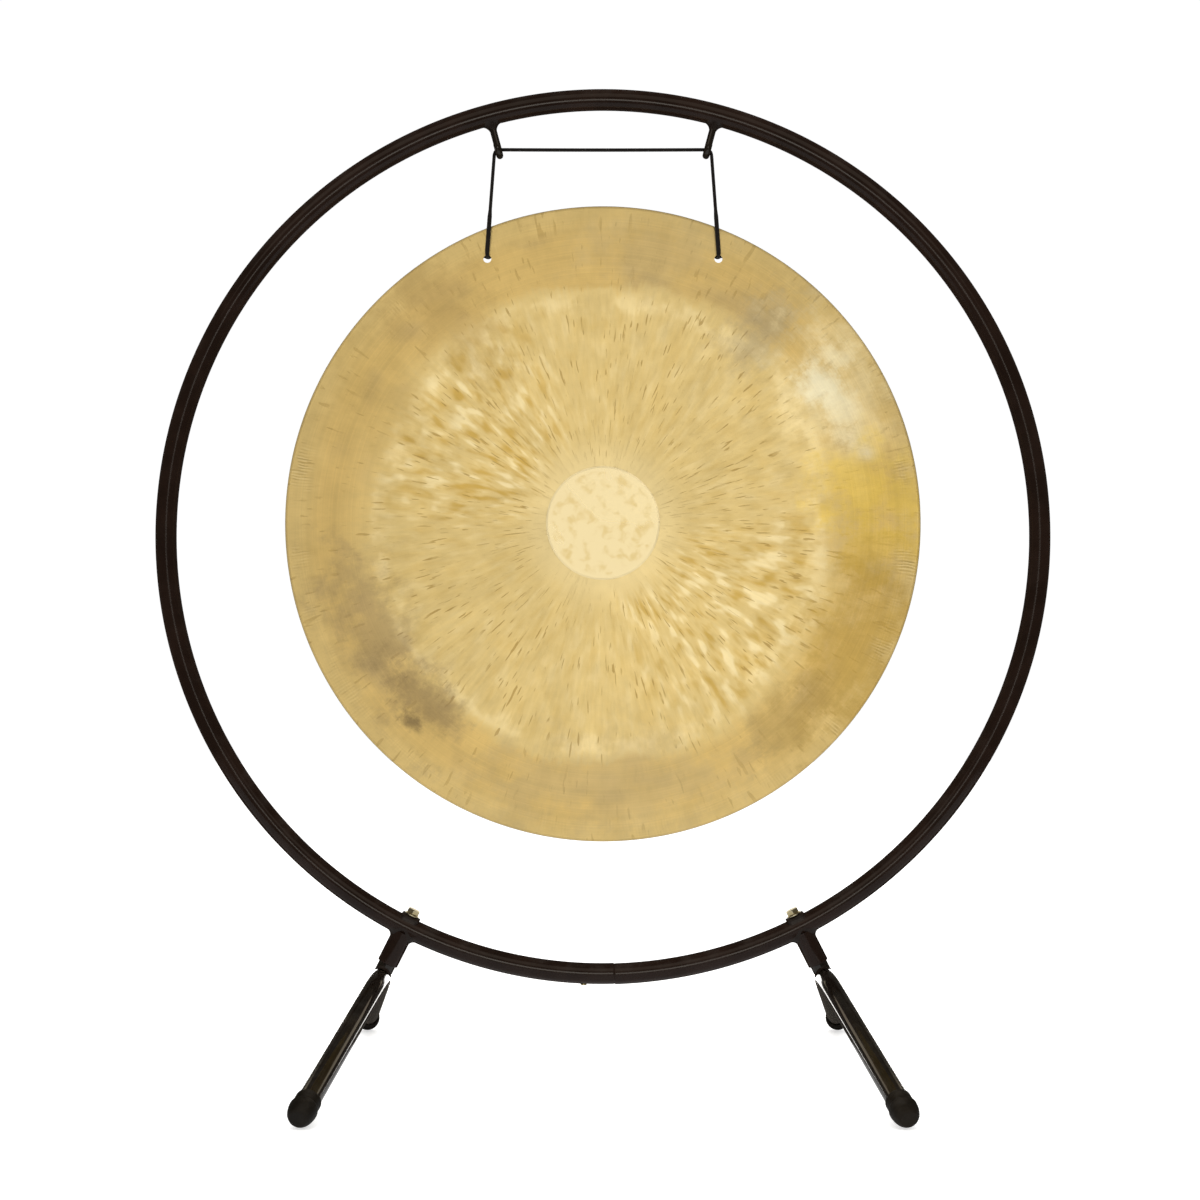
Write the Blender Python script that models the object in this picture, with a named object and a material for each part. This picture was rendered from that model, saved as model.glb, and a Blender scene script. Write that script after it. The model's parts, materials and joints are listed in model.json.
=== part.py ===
"""Tam tam gong hanging by a cord from two hooks in a round tube stand.

Metres, +Z up. The origin is on the floor under the middle of the stand, the
hoop stands in the plane y = 0 and the gong's struck face looks along -Y.
"""

from math import asin, atan2, cos, pi, radians, sin, sqrt, tan

import bmesh
import bpy
from mathutils import Matrix, Vector

# Gong: a thin lathed disc, crowned towards the front
GONG_DIAMETER = 0.550
GONG_THICKNESS = 0.0014
GONG_CROWN = 0.005
GONG_LIFT = 0.0122             # its centre over the hoop's centre
CENTRE_DISC_DIAMETER = 0.098
CENTRE_DISC_RAISE = 0.0003
CENTRE_DISC_SLOPE = 0.0008     # how wide its sloping edge is
HOLE_SPACING = 0.200
HOLE_EDGE_DISTANCE = 0.025

# Hoop and the joint that closes it
HOOP_ROOM = 0.092              # the gong's edge to the inside of the hoop
TUBE_DIAMETER = 0.018          # hoop, sockets and legs are one stock tube
TUBE_WALL = 0.0012
SEAM_GAP = 0.0003
SEAM_ANGLE = radians(1.5)      # right of bottom centre
SLEEVE_LENGTH = 0.070
SLEEVE_WALL = 0.0012
SPLICE_SCREW_OFFSET = 0.026    # along the hoop, left of the seam
SPLICE_SCREW_DIAMETER = 0.0035
SPLICE_SCREW_HEAD = 0.0055
SPLICE_SCREW_HEAD_HEIGHT = 0.0014
SPLICE_SCREW_EDGE = 0.0006     # height of the head's straight rim
SPLICE_SCREW_POINT = 0.0012    # what shows inside the sleeve

# Leg sockets, each at this angle from the bottom of the hoop
LEG_ANGLE = radians(26.8)
SOCKET_LENGTH = 0.035          # from the middle of the hoop's tube to the mouth
SPIGOT_NECK = 0.0047           # what shows between socket and leg
SPIGOT_HEADROOM = 0.0027       # spigot's end to the hoop's tube
BOLT_HOLE_SPARE = 0.003        # hole in the spigot past the bolt's point

# Legs: one bent tube each, front foot to rear foot
LEG_HALF_SPREAD = 0.205        # hoop plane to the middle of a foot
LEG_DROP = 0.0792              # top of the bend to the foot, along the socket
LEG_BEND_RADIUS = 0.080

# Rubber feet: a sleeve over the tube's end and a round end
FOOT_SLEEVE_WALL = 0.0011
FOOT_SLEEVE_LENGTH = 0.016     # rim to the middle of the round end
FOOT_BULGE = 0.0016            # the round end past the sleeve, per side
FOOT_TIP_FLAT = 0.0015         # what the round end's tip is short by
FOOT_PATCH_DEPTH = 0.0004      # what is worn flat under the round end
FOOT_RIM = 0.0004              # chamfer of the sleeve's rim

# Leg bolts, from inside the hoop through to the spigots
BOLT_DIAMETER = 0.006
BOLT_LENGTH = 0.035
BOLT_HEAD_ACROSS_FLATS = 0.010
BOLT_HEAD_HEIGHT = 0.004
WASHER_DIAMETER = 0.0125
WASHER_THICKNESS = 0.0012
SADDLE_LENGTH = 0.0165
SADDLE_WIDTH = 0.014
SADDLE_THICKNESS = 0.0016      # at its thinnest, over the crown of the tube
SADDLE_SKIRT = 0.003           # how far its sides reach round the tube
SADDLE_CORNER = 0.003

# Hooks for the cord
HOOK_ANGLE = radians(15.1)     # each side of the top of the hoop
HOOK_DROP = 0.034              # middle of the hoop's tube to the middle of the bend's rod
HOOK_ROD_DIAMETER = 0.006
HOOK_CORD_ROOM = 0.0025        # beside the cord, in the bend
HOOK_TIP_RISE = 0.006          # straight part behind the bend

# Cord
CORD_DIAMETER = 0.003
CORD_FACE_GAP = 0.0009         # cord to the gong's face and to the top of its hole
HOLE_PLAY = 0.004              # the holes are wider than the cord by this
KNOT_OVERSIZE = 0.0025         # and the knots are wider than the holes by this
KNOT_LENGTH = 0.010
KNOT_LEAD = 0.0006             # plain cord before the knot
KNOT_SHOULDER = 0.14           # share of a half wave where the knot starts
KNOT_FULLNESS = 0.7
TAIL_BEND_RADIUS = 0.0036
CORD_TAIL = 0.018              # loose end under the knot

# Clearances
WELD_GAP = 0.0003              # between pieces welded or clamped together
SLIDE_GAP = 0.0003             # per side, between a tube and what slides into it
BOLT_GAP = 0.0004              # per side, round a bolt or a screw
CORD_GAP = 0.0003              # cord to hook, and round the cord's ball ends
CHAMFER = 0.0008               # on the spigots' ends and the points of the fixings

# Roundness
HOOP_STEPS = 72
SLEEVE_STEPS = 10
TUBE_ROUND = 4                 # bevel resolution of the stand's tubes
ROD_ROUND = 3
CORD_ROUND = 2
TURNED_SIDES = 24
BOLT_SIDES = 20
BALL_SIDES = 20
BALL_RINGS = 14
BALL_TURN = radians(5)         # keeps the ball's corners off the cord's corners
GONG_STEPS = 80
GONG_RINGS = 5
LEG_BEND_STEPS = 6
FOOT_STEPS = 8
HOOK_STEPS = 10
WRAP_STEPS = 6
SPAN_STEPS = 18
DROP_STEPS = 12
CORD_TURN_STEPS = 6
KNOT_STEPS = 8
TAIL_STEPS = 4
BALL_END_ANGLES = (88, 66, 44, 22, 0)

SIDES = {"left": -1, "right": 1}
ENDS = {"front": -1, "rear": 1}

# What follows from the driving sizes
HOLE_DIAMETER = CORD_DIAMETER + HOLE_PLAY
HOLE_RADIUS_OUT = GONG_DIAMETER / 2 - HOLE_EDGE_DISTANCE
HOLE_RISE = sqrt(HOLE_RADIUS_OUT**2 - (HOLE_SPACING / 2) ** 2)
HOOP_RADIUS = GONG_DIAMETER / 2 + HOOP_ROOM + TUBE_DIAMETER / 2
TUBE_BORE = TUBE_DIAMETER - 2 * TUBE_WALL
SPIGOT_DIAMETER = TUBE_BORE - 2 * SLIDE_GAP
HOOP_FACET = HOOP_RADIUS * (1 - cos(pi / HOOP_STEPS))      # its arc over its chord
SLEEVE_DIAMETER = SPIGOT_DIAMETER - 2 * HOOP_FACET
MOUTH_RADIUS = HOOP_RADIUS + SOCKET_LENGTH
LEG_TOP_RADIUS = MOUTH_RADIUS + SPIGOT_NECK + TUBE_DIAMETER / 2
FOOT_REACH = LEG_TOP_RADIUS + LEG_DROP
FOOT_BORE = TUBE_DIAMETER / 2 + WELD_GAP
FOOT_SLEEVE_RADIUS = FOOT_BORE + FOOT_SLEEVE_WALL
FOOT_RADIUS = FOOT_SLEEVE_RADIUS + FOOT_BULGE
HOOP_HEIGHT = FOOT_REACH * cos(LEG_ANGLE) + FOOT_RADIUS - FOOT_PATCH_DEPTH
HOOP_CENTRE = Vector((0, 0, HOOP_HEIGHT))
SADDLE_BASE = HOOP_RADIUS - TUBE_DIAMETER / 2 - WELD_GAP
WASHER_SEAT = SADDLE_BASE - SADDLE_THICKNESS - WELD_GAP - WASHER_THICKNESS
BOLT_SEAT = WASHER_SEAT - WELD_GAP
HOOK_BEND_RADIUS = (HOOK_ROD_DIAMETER + CORD_DIAMETER) / 2 + HOOK_CORD_ROOM
HOOK_SEAT_RADIUS = HOOP_RADIUS - HOOK_DROP
CORD_Y = HOOK_BEND_RADIUS
CORD_OFF_ROD = (HOOK_ROD_DIAMETER + CORD_DIAMETER) / 2 + CORD_GAP
CORD_FACE_OFFSET = CORD_DIAMETER / 2 + CORD_FACE_GAP
CORD_BEND_RADIUS = CORD_DIAMETER
KNOT_DIAMETER = HOLE_DIAMETER + KNOT_OVERSIZE
CUP_RADIUS = CORD_DIAMETER / 2 + CORD_GAP
SWING_X = HOOK_SEAT_RADIUS * sin(HOOK_ANGLE) + CORD_OFF_ROD
SWING_Z = HOOP_HEIGHT + HOOK_SEAT_RADIUS * cos(HOOK_ANGLE)
CORD_LEVEL = -(CUP_RADIUS + CORD_BEND_RADIUS)      # from the tilt pivot down to the holes
GONG_MIDDLE = CORD_LEVEL + CORD_FACE_OFFSET - HOLE_DIAMETER / 2 - HOLE_RISE
TILT_Z = HOOP_HEIGHT + GONG_LIFT - GONG_MIDDLE


def clear_scene():
    for thing in list(bpy.data.objects):
        bpy.data.objects.remove(thing, do_unlink=True)


def make_material(name, colour, roughness, metallic):
    material = bpy.data.materials.new(name)
    material.use_nodes = True
    shader = material.node_tree.nodes["Principled BSDF"]
    shader.inputs["Base Color"].default_value = (*colour, 1)
    shader.inputs["Roughness"].default_value = roughness
    shader.inputs["Metallic"].default_value = metallic
    return material


def black_paint(name):
    return make_material(name, (0.012, 0.010, 0.008), 0.22, 0.0)


def gong_brass(name):
    return make_material(name, (0.66, 0.48, 0.21), 0.34, 1.0)


def yellow_zinc(name):
    return make_material(name, (0.72, 0.66, 0.46), 0.30, 1.0)


def black_rubber(name):
    return make_material(name, (0.014, 0.013, 0.012), 0.75, 0.0)


def black_cord(name):
    return make_material(name, (0.010, 0.009, 0.009), 0.85, 0.0)


def plain_steel(name):
    return make_material(name, (0.42, 0.41, 0.39), 0.45, 1.0)


def shade_round(mesh, degrees=35):
    mesh.shade_smooth()
    mesh.set_sharp_from_angle(angle=radians(degrees))


def add_object(name, mesh, material, parent=None):
    piece = bpy.data.objects.new(name, mesh)
    bpy.context.collection.objects.link(piece)
    mesh.materials.clear()
    mesh.materials.append(material(name + "_finish"))
    piece.parent = parent
    return piece


def mesh_from(name, shape, angle=35):
    bmesh.ops.recalc_face_normals(shape, faces=shape.faces)
    mesh = bpy.data.meshes.new(name)
    shape.to_mesh(mesh)
    shape.free()
    shade_round(mesh, angle)
    return mesh


def curve_mesh(name, points, radius, roundness, wall=None, widths=None):
    """A tube along the points: solid with filled ends, or hollow with open ends."""
    curve = bpy.data.curves.new(name, "CURVE")
    curve.dimensions = "3D"
    curve.bevel_depth = radius
    curve.bevel_resolution = roundness
    curve.use_fill_caps = wall is None
    spline = curve.splines.new("POLY")
    spline.points.add(len(points) - 1)
    for index, point in enumerate(points):
        spline.points[index].co = (*point, 1)
        spline.points[index].radius = widths[index] if widths else 1
    guide = bpy.data.objects.new(name + "_path", curve)
    bpy.context.collection.objects.link(guide)
    if wall is not None:
        shell = guide.modifiers.new("wall", "SOLIDIFY")
        shell.thickness = wall
        shell.offset = -1
        shell.use_even_offset = True
        shell.use_rim = True
    depsgraph = bpy.context.evaluated_depsgraph_get()
    mesh = bpy.data.meshes.new_from_object(guide.evaluated_get(depsgraph))
    mesh.name = name
    bpy.data.objects.remove(guide, do_unlink=True)
    shape = bmesh.new()
    shape.from_mesh(mesh)
    bmesh.ops.remove_doubles(shape, verts=shape.verts, dist=1e-6)
    bmesh.ops.recalc_face_normals(shape, faces=shape.faces)
    shape.to_mesh(mesh)
    shape.free()
    shade_round(mesh)
    return mesh


def turned_mesh(name, profile, steps, angle=35):
    """A closed outline of (radius, height) points turned about Z."""
    shape = bmesh.new()
    corners = [shape.verts.new((radius, 0, height)) for radius, height in profile]
    edges = [shape.edges.new(pair) for pair in zip(corners, corners[1:] + corners[:1])]
    bmesh.ops.spin(shape, geom=corners + edges, cent=(0, 0, 0), axis=(0, 0, 1),
                   angle=2 * pi, steps=steps, use_merge=True)
    bmesh.ops.remove_doubles(shape, verts=shape.verts, dist=1e-6)
    spare = [edge for edge in shape.edges if not edge.link_faces]
    bmesh.ops.delete(shape, geom=spare, context="EDGES")
    return mesh_from(name, shape, angle)


def cutter(name, mesh, place=Matrix()):
    tool = bpy.data.objects.new(name, mesh)
    bpy.context.collection.objects.link(tool)
    tool.matrix_world = place
    tool.hide_render = True
    tool.display_type = "WIRE"
    return tool


def carve(piece, tool):
    cut = piece.modifiers.new("cut_" + tool.name, "BOOLEAN")
    cut.operation = "DIFFERENCE"
    cut.solver = "EXACT"
    cut.object = tool


def rod_mesh(name, radius, low, high, steps=TURNED_SIDES):
    return turned_mesh(name, [(0, low), (radius, low), (radius, high), (0, high)], steps)


def ball_mesh(name, radius):
    shape = bmesh.new()
    bmesh.ops.create_uvsphere(shape, u_segments=BALL_SIDES, v_segments=BALL_RINGS,
                              radius=radius, matrix=Matrix.Rotation(BALL_TURN, 4, "Z"))
    return mesh_from(name, shape)


def outward(angle):
    """Unit vector from the hoop's centre, the angle counted from straight down."""
    return Vector((sin(angle), 0, -cos(angle)))


def radial_frame(angle, distance):
    """A frame on the hoop's plane with its Z pointing out along the radius."""
    out = outward(angle)
    across = Vector((cos(angle), 0, sin(angle)))
    side = out.cross(across)
    turn = Matrix((across, side, out)).transposed().to_4x4()
    return Matrix.Translation(HOOP_CENTRE + out * distance) @ turn


def hoop_points(start, stop, steps):
    span = stop - start
    return [HOOP_CENTRE + outward(start + span * step / steps) * HOOP_RADIUS
            for step in range(steps + 1)]


def hoop_cutter(name, extra):
    """The outside of the hoop's tube, larger all round by the gap."""
    points = hoop_points(SEAM_ANGLE, SEAM_ANGLE + 2 * pi, HOOP_STEPS)
    mesh = curve_mesh(name, points, TUBE_DIAMETER / 2 + extra, TUBE_ROUND)
    return cutter(name, mesh)


def make_hoop():
    half_gap = SEAM_GAP / 2 / HOOP_RADIUS
    points = hoop_points(SEAM_ANGLE + half_gap, SEAM_ANGLE + 2 * pi - half_gap, HOOP_STEPS)
    mesh = curve_mesh("hoop_tube", points, TUBE_DIAMETER / 2, TUBE_ROUND, TUBE_WALL)
    hoop = add_object("hoop_tube", mesh, black_paint)
    drill = rod_mesh("bolt_drill", BOLT_DIAMETER / 2 + BOLT_GAP, -TUBE_DIAMETER, TUBE_DIAMETER)
    for side, sign in SIDES.items():
        place = radial_frame(sign * LEG_ANGLE, HOOP_RADIUS)
        carve(hoop, cutter("bolt_drill_" + side, drill, place))
    screw_drill = rod_mesh("screw_drill", SPLICE_SCREW_DIAMETER / 2 + BOLT_GAP,
                           TUBE_BORE / 4, TUBE_DIAMETER)
    carve(hoop, cutter("screw_drill", screw_drill, splice_screw_frame()))


def splice_screw_frame():
    return radial_frame(SEAM_ANGLE - SPLICE_SCREW_OFFSET / HOOP_RADIUS, HOOP_RADIUS)


def make_splice():
    half = SLEEVE_LENGTH / 2 / HOOP_RADIUS
    points = hoop_points(SEAM_ANGLE - half, SEAM_ANGLE + half, SLEEVE_STEPS)
    mesh = curve_mesh("hoop_splice_sleeve", points, SLEEVE_DIAMETER / 2, TUBE_ROUND,
                      SLEEVE_WALL)
    sleeve = add_object("hoop_splice_sleeve", mesh, plain_steel)
    carve(sleeve, bpy.data.objects["screw_drill"])


def make_splice_screw():
    under_head = TUBE_DIAMETER / 2 + WELD_GAP
    top = under_head + SPLICE_SCREW_HEAD_HEIGHT
    inner = SLEEVE_DIAMETER / 2 - SLEEVE_WALL - SPLICE_SCREW_POINT
    stem = SPLICE_SCREW_DIAMETER / 2
    head = SPLICE_SCREW_HEAD / 2
    crown = head - CHAMFER
    profile = [(0, inner), (stem - CHAMFER, inner), (stem, inner + CHAMFER),
               (stem, under_head), (head, under_head),
               (head, under_head + SPLICE_SCREW_EDGE), (crown, top), (0, top)]
    mesh = turned_mesh("hoop_splice_screw", profile, TURNED_SIDES)
    screw = add_object("hoop_splice_screw", mesh, yellow_zinc)
    screw.matrix_world = splice_screw_frame()


def make_socket(side, sign, hoop_shape):
    name = "leg_socket_" + side
    outer = TUBE_DIAMETER / 2
    inner = TUBE_BORE / 2
    profile = [(inner, 0), (outer, 0), (outer, SOCKET_LENGTH), (inner, SOCKET_LENGTH)]
    socket = add_object(name, turned_mesh(name, profile, TURNED_SIDES), black_paint)
    socket.matrix_world = radial_frame(sign * LEG_ANGLE, HOOP_RADIUS)
    carve(socket, hoop_shape)


def leg_half_outline():
    """(y, drop) points of half a leg's bend, and the slope of its straight part."""
    low, high = 0.0, radians(80)
    for _ in range(60):
        slope = (low + high) / 2
        drop = LEG_BEND_RADIUS * (1 - cos(slope))
        drop += (LEG_HALF_SPREAD - LEG_BEND_RADIUS * sin(slope)) * tan(slope)
        if drop < LEG_DROP:
            low = slope
        else:
            high = slope
    turns = [slope * step / LEG_BEND_STEPS for step in range(LEG_BEND_STEPS + 1)]
    bend = [(LEG_BEND_RADIUS * sin(turn), LEG_BEND_RADIUS * (1 - cos(turn))) for turn in turns]
    return bend, slope


def leg_point(sign, y, drop):
    return HOOP_CENTRE + outward(sign * LEG_ANGLE) * (LEG_TOP_RADIUS + drop) + Vector((0, y, 0))


def leg_points(sign):
    bend, _ = leg_half_outline()
    start = bend[-1]
    middle = ((start[0] + LEG_HALF_SPREAD) / 2, (start[1] + LEG_DROP) / 2)
    half = bend + [middle, (LEG_HALF_SPREAD, LEG_DROP)]
    front = [leg_point(sign, -y, drop) for y, drop in reversed(half)]
    rear = [leg_point(sign, y, drop) for y, drop in half[1:]]
    return front + rear


def make_leg(side, sign):
    name = "leg_tube_" + side
    points = leg_points(sign)
    mesh = curve_mesh(name, points, TUBE_DIAMETER / 2, TUBE_ROUND, TUBE_WALL)
    add_object(name, mesh, black_paint)
    shape_name = "leg_shape_" + side
    shape = curve_mesh(shape_name, points, TUBE_DIAMETER / 2 + WELD_GAP, TUBE_ROUND)
    return cutter(shape_name, shape)


def make_spigot(side, sign, leg_shape):
    name = "leg_spigot_" + side
    bottom = LEG_TOP_RADIUS - HOOP_RADIUS
    top = TUBE_DIAMETER / 2 + SPIGOT_HEADROOM
    radius = SPIGOT_DIAMETER / 2
    hole = BOLT_DIAMETER / 2 + BOLT_GAP
    hole_end = BOLT_SEAT - HOOP_RADIUS + BOLT_LENGTH + BOLT_HOLE_SPARE
    profile = [(hole, top), (radius - CHAMFER, top), (radius, top + CHAMFER), (radius, bottom),
               (0, bottom), (0, hole_end), (hole, hole_end)]
    spigot = add_object(name, turned_mesh(name, profile, TURNED_SIDES), black_paint)
    spigot.matrix_world = radial_frame(sign * LEG_ANGLE, HOOP_RADIUS)
    carve(spigot, leg_shape)


def make_saddle(side, sign, hoop_shape):
    name = "saddle_pad_" + side
    shape = bmesh.new()
    bmesh.ops.create_cube(shape, size=1)
    depth = SADDLE_THICKNESS + SADDLE_SKIRT
    bmesh.ops.scale(shape, vec=(SADDLE_LENGTH, SADDLE_WIDTH, depth), verts=shape.verts)
    bmesh.ops.translate(shape, vec=(0, 0, depth / 2 - SADDLE_THICKNESS), verts=shape.verts)
    uprights = [edge for edge in shape.edges
                if abs(edge.verts[0].co.z - edge.verts[1].co.z) > depth / 2]
    bmesh.ops.bevel(shape, geom=uprights, offset=SADDLE_CORNER, segments=4, affect="EDGES")
    pad = add_object(name, mesh_from(name, shape), black_paint)
    pad.matrix_world = radial_frame(sign * LEG_ANGLE, SADDLE_BASE)
    carve(pad, hoop_shape)
    drill = rod_mesh("pad_drill_" + side, BOLT_DIAMETER / 2 + BOLT_GAP,
                     -2 * SADDLE_THICKNESS, 2 * SADDLE_SKIRT)
    carve(pad, cutter("pad_drill_" + side, drill, pad.matrix_world))


def make_washer(side, sign):
    name = "bolt_washer_" + side
    inner = BOLT_DIAMETER / 2 + BOLT_GAP
    outer = WASHER_DIAMETER / 2
    profile = [(inner, 0), (outer, 0), (outer, WASHER_THICKNESS), (inner, WASHER_THICKNESS)]
    washer = add_object(name, turned_mesh(name, profile, TURNED_SIDES), yellow_zinc)
    washer.matrix_world = radial_frame(sign * LEG_ANGLE, WASHER_SEAT)


def make_bolt(side, sign):
    name = "leg_bolt_" + side
    shape = bmesh.new()
    bmesh.ops.create_cone(shape, cap_ends=True, segments=6, depth=BOLT_HEAD_HEIGHT,
                          radius1=BOLT_HEAD_ACROSS_FLATS / sqrt(3),
                          radius2=BOLT_HEAD_ACROSS_FLATS / sqrt(3))
    bmesh.ops.translate(shape, vec=(0, 0, -BOLT_HEAD_HEIGHT / 2), verts=shape.verts)
    bolt = add_object(name, mesh_from(name, shape), yellow_zinc)
    bolt.matrix_world = radial_frame(sign * LEG_ANGLE, BOLT_SEAT)
    radius = BOLT_DIAMETER / 2
    root = -BOLT_HEAD_HEIGHT / 4
    profile = [(0, root), (radius, root), (radius, BOLT_LENGTH - CHAMFER),
               (radius - CHAMFER, BOLT_LENGTH), (0, BOLT_LENGTH)]
    stem = cutter("bolt_stem_" + side, turned_mesh("bolt_stem_" + side, profile, BOLT_SIDES),
                  bolt.matrix_world)
    join = bolt.modifiers.new("stem", "BOOLEAN")
    join.operation = "UNION"
    join.solver = "EXACT"
    join.object = stem


def make_foot(end, end_sign, side, sign, floor):
    name = "foot_" + end + "_" + side
    _, slope = leg_half_outline()
    along = outward(sign * LEG_ANGLE) * sin(slope) + Vector((0, end_sign * cos(slope), 0))
    middle = leg_point(sign, end_sign * LEG_HALF_SPREAD, LEG_DROP)
    tip = FOOT_RADIUS - FOOT_TIP_FLAT
    sleeve = FOOT_SLEEVE_RADIUS
    start = pi - asin((sleeve + FOOT_RIM) / FOOT_RADIUS)
    outer = [(0, tip)]
    for step in range(1, FOOT_STEPS + 1):
        angle = start * step / FOOT_STEPS
        outer.append((FOOT_RADIUS * sin(angle), min(tip, FOOT_RADIUS * cos(angle))))
    outer += [(sleeve, FOOT_RADIUS * cos(start) - FOOT_RIM),
              (sleeve, -FOOT_SLEEVE_LENGTH + FOOT_RIM),
              (sleeve - FOOT_RIM, -FOOT_SLEEVE_LENGTH)]
    inner = [(FOOT_BORE, -FOOT_SLEEVE_LENGTH), (FOOT_BORE, WELD_GAP), (0, WELD_GAP)]
    cap = add_object(name, turned_mesh(name, outer + inner, TURNED_SIDES), black_rubber)
    turn = along.to_track_quat("Z", "Y").to_matrix().to_4x4()
    cap.matrix_world = Matrix.Translation(middle) @ turn
    carve(cap, floor)


def make_floor_cutter():
    """Everything under z = 0, which leaves each foot its flat contact patch."""
    shape = bmesh.new()
    bmesh.ops.create_cube(shape, size=1)
    size = 4 * LEG_HALF_SPREAD + 2 * HOOP_RADIUS
    depth = 4 * FOOT_RADIUS
    bmesh.ops.scale(shape, vec=(size, size, depth), verts=shape.verts)
    bmesh.ops.translate(shape, vec=(0, 0, -depth / 2), verts=shape.verts)
    return cutter("floor_cut", mesh_from("floor_cut", shape))


def make_hook(side, sign, hoop_shape):
    name = "cord_hook_" + side
    bend_middle = HOOK_SEAT_RADIUS + HOOK_BEND_RADIUS
    outline = [(0.0, HOOP_RADIUS), (0.0, (HOOP_RADIUS + bend_middle) / 2)]
    for step in range(HOOK_STEPS + 1):
        turn = pi * step / HOOK_STEPS
        outline.append((HOOK_BEND_RADIUS * (1 - cos(turn)),
                        bend_middle - HOOK_BEND_RADIUS * sin(turn)))
    outline.append((2 * HOOK_BEND_RADIUS, bend_middle + HOOK_TIP_RISE))
    out = outward(pi - sign * HOOK_ANGLE)
    points = [HOOP_CENTRE + out * distance + Vector((0, y, 0)) for y, distance in outline]
    mesh = curve_mesh(name, points, HOOK_ROD_DIAMETER / 2, ROD_ROUND)
    hook = add_object(name, mesh, black_paint)
    carve(hook, hoop_shape)


def cord_side(angle):
    """Offset of the cord's middle from the hook rod, the angle counted from the side."""
    return Vector((cos(angle), 0, sin(angle))) * CORD_OFF_ROD


def make_cord_span():
    seats = {}
    for side, sign in SIDES.items():
        middle = Vector((sign * HOOK_SEAT_RADIUS * sin(HOOK_ANGLE), CORD_Y, SWING_Z))
        wrap = [cord_side(pi / 2 * step / WRAP_STEPS) for step in range(WRAP_STEPS + 1)]
        seats[side] = [middle + Vector((sign * turn.x, 0, turn.z)) for turn in wrap]
    left, right = seats["left"], seats["right"]
    between = [left[-1].lerp(right[-1], step / SPAN_STEPS) for step in range(1, SPAN_STEPS)]
    points = left + between + list(reversed(right))
    mesh = curve_mesh("cord_top_span", points, CORD_DIAMETER / 2, CORD_ROUND)
    span = add_object("cord_top_span", mesh, black_cord)
    for side, sign in SIDES.items():
        pivot = Matrix.Translation((sign * SWING_X, CORD_Y, SWING_Z))
        carve(span, cutter("span_cup_" + side, ball_mesh("span_cup", CUP_RADIUS), pivot))


def capsule_points(start, stop, radius):
    """Points and widths of a straight cord with a round end at each point."""
    along = (stop - start).normalized()
    cap = [(radius * sin(radians(angle)), cos(radians(angle))) for angle in BALL_END_ANGLES]
    points = [start - along * reach for reach, _ in cap]
    widths = [width for _, width in cap]
    for step in range(1, DROP_STEPS):
        points.append(start.lerp(stop, step / DROP_STEPS))
        widths.append(1)
    points += [stop + along * reach for reach, _ in reversed(cap)]
    widths += [width for _, width in reversed(cap)]
    return points, widths


def make_cord_drop(side, sign, swing):
    name = "cord_drop_" + side
    start = Vector((sign * SWING_X, 0, 0))
    stop = Vector((sign * HOLE_SPACING / 2, 0, TILT_Z - SWING_Z))
    points, widths = capsule_points(start, stop, CORD_DIAMETER / 2)
    mesh = curve_mesh(name, points, CORD_DIAMETER / 2, CORD_ROUND, widths=widths)
    add_object(name, mesh, black_cord, swing)


def gong_face(radius):
    """y of the gong's front face, from the cord's pivot, at a distance from its centre."""
    half = GONG_DIAMETER / 2
    return CORD_FACE_OFFSET + GONG_CROWN * (radius**2 - HOLE_RADIUS_OUT**2) / half**2


def hang_tilt():
    """Tilt that brings the disc's balance point straight under the cord's pivot."""
    balance = gong_face(0) + GONG_CROWN / 2 + GONG_THICKNESS / 2
    return atan2(balance, -GONG_MIDDLE)


def make_gong(hang):
    half = GONG_DIAMETER / 2
    centre = CENTRE_DISC_DIAMETER / 2
    front = [(0, CENTRE_DISC_RAISE), (centre - CENTRE_DISC_SLOPE, CENTRE_DISC_RAISE),
             (centre, 0)]
    for step in range(1, GONG_RINGS + 1):
        radius = centre + (half - centre) * step / GONG_RINGS
        front.append((radius, -GONG_CROWN * (radius**2) / half**2))
    back = [(radius, height - GONG_THICKNESS) for radius, height in reversed(front[2:])]
    profile = front + back + [(0, -GONG_THICKNESS)]
    mesh = turned_mesh("gong_disc", profile, GONG_STEPS)
    disc = add_object("gong_disc", mesh, gong_brass, hang)
    face_front = Matrix.Rotation(radians(90), 4, "X")
    disc.matrix_local = Matrix.Translation((0, gong_face(0), GONG_MIDDLE)) @ face_front
    deep = 2 * (GONG_CROWN + GONG_THICKNESS)
    for side, sign in SIDES.items():
        drill = rod_mesh("gong_drill_" + side, HOLE_DIAMETER / 2, -deep, deep)
        tool = cutter("gong_drill_" + side, drill)
        tool.parent = hang
        place = Matrix.Translation((sign * HOLE_SPACING / 2, 0, GONG_MIDDLE + HOLE_RISE))
        tool.matrix_local = place @ face_front
        carve(disc, tool)


def quarter_turn(start, radius, forward):
    """Points of a bend from straight down to straight back, or the other way round."""
    turns = [pi / 2 * step / CORD_TURN_STEPS for step in range(1, CORD_TURN_STEPS + 1)]
    if forward:
        bend = [(radius * (1 - cos(turn)), -radius * sin(turn)) for turn in turns]
    else:
        bend = [(radius * sin(turn), -radius * (1 - cos(turn))) for turn in turns]
    return [start + Vector((0, y, z)) for y, z in bend]


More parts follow.
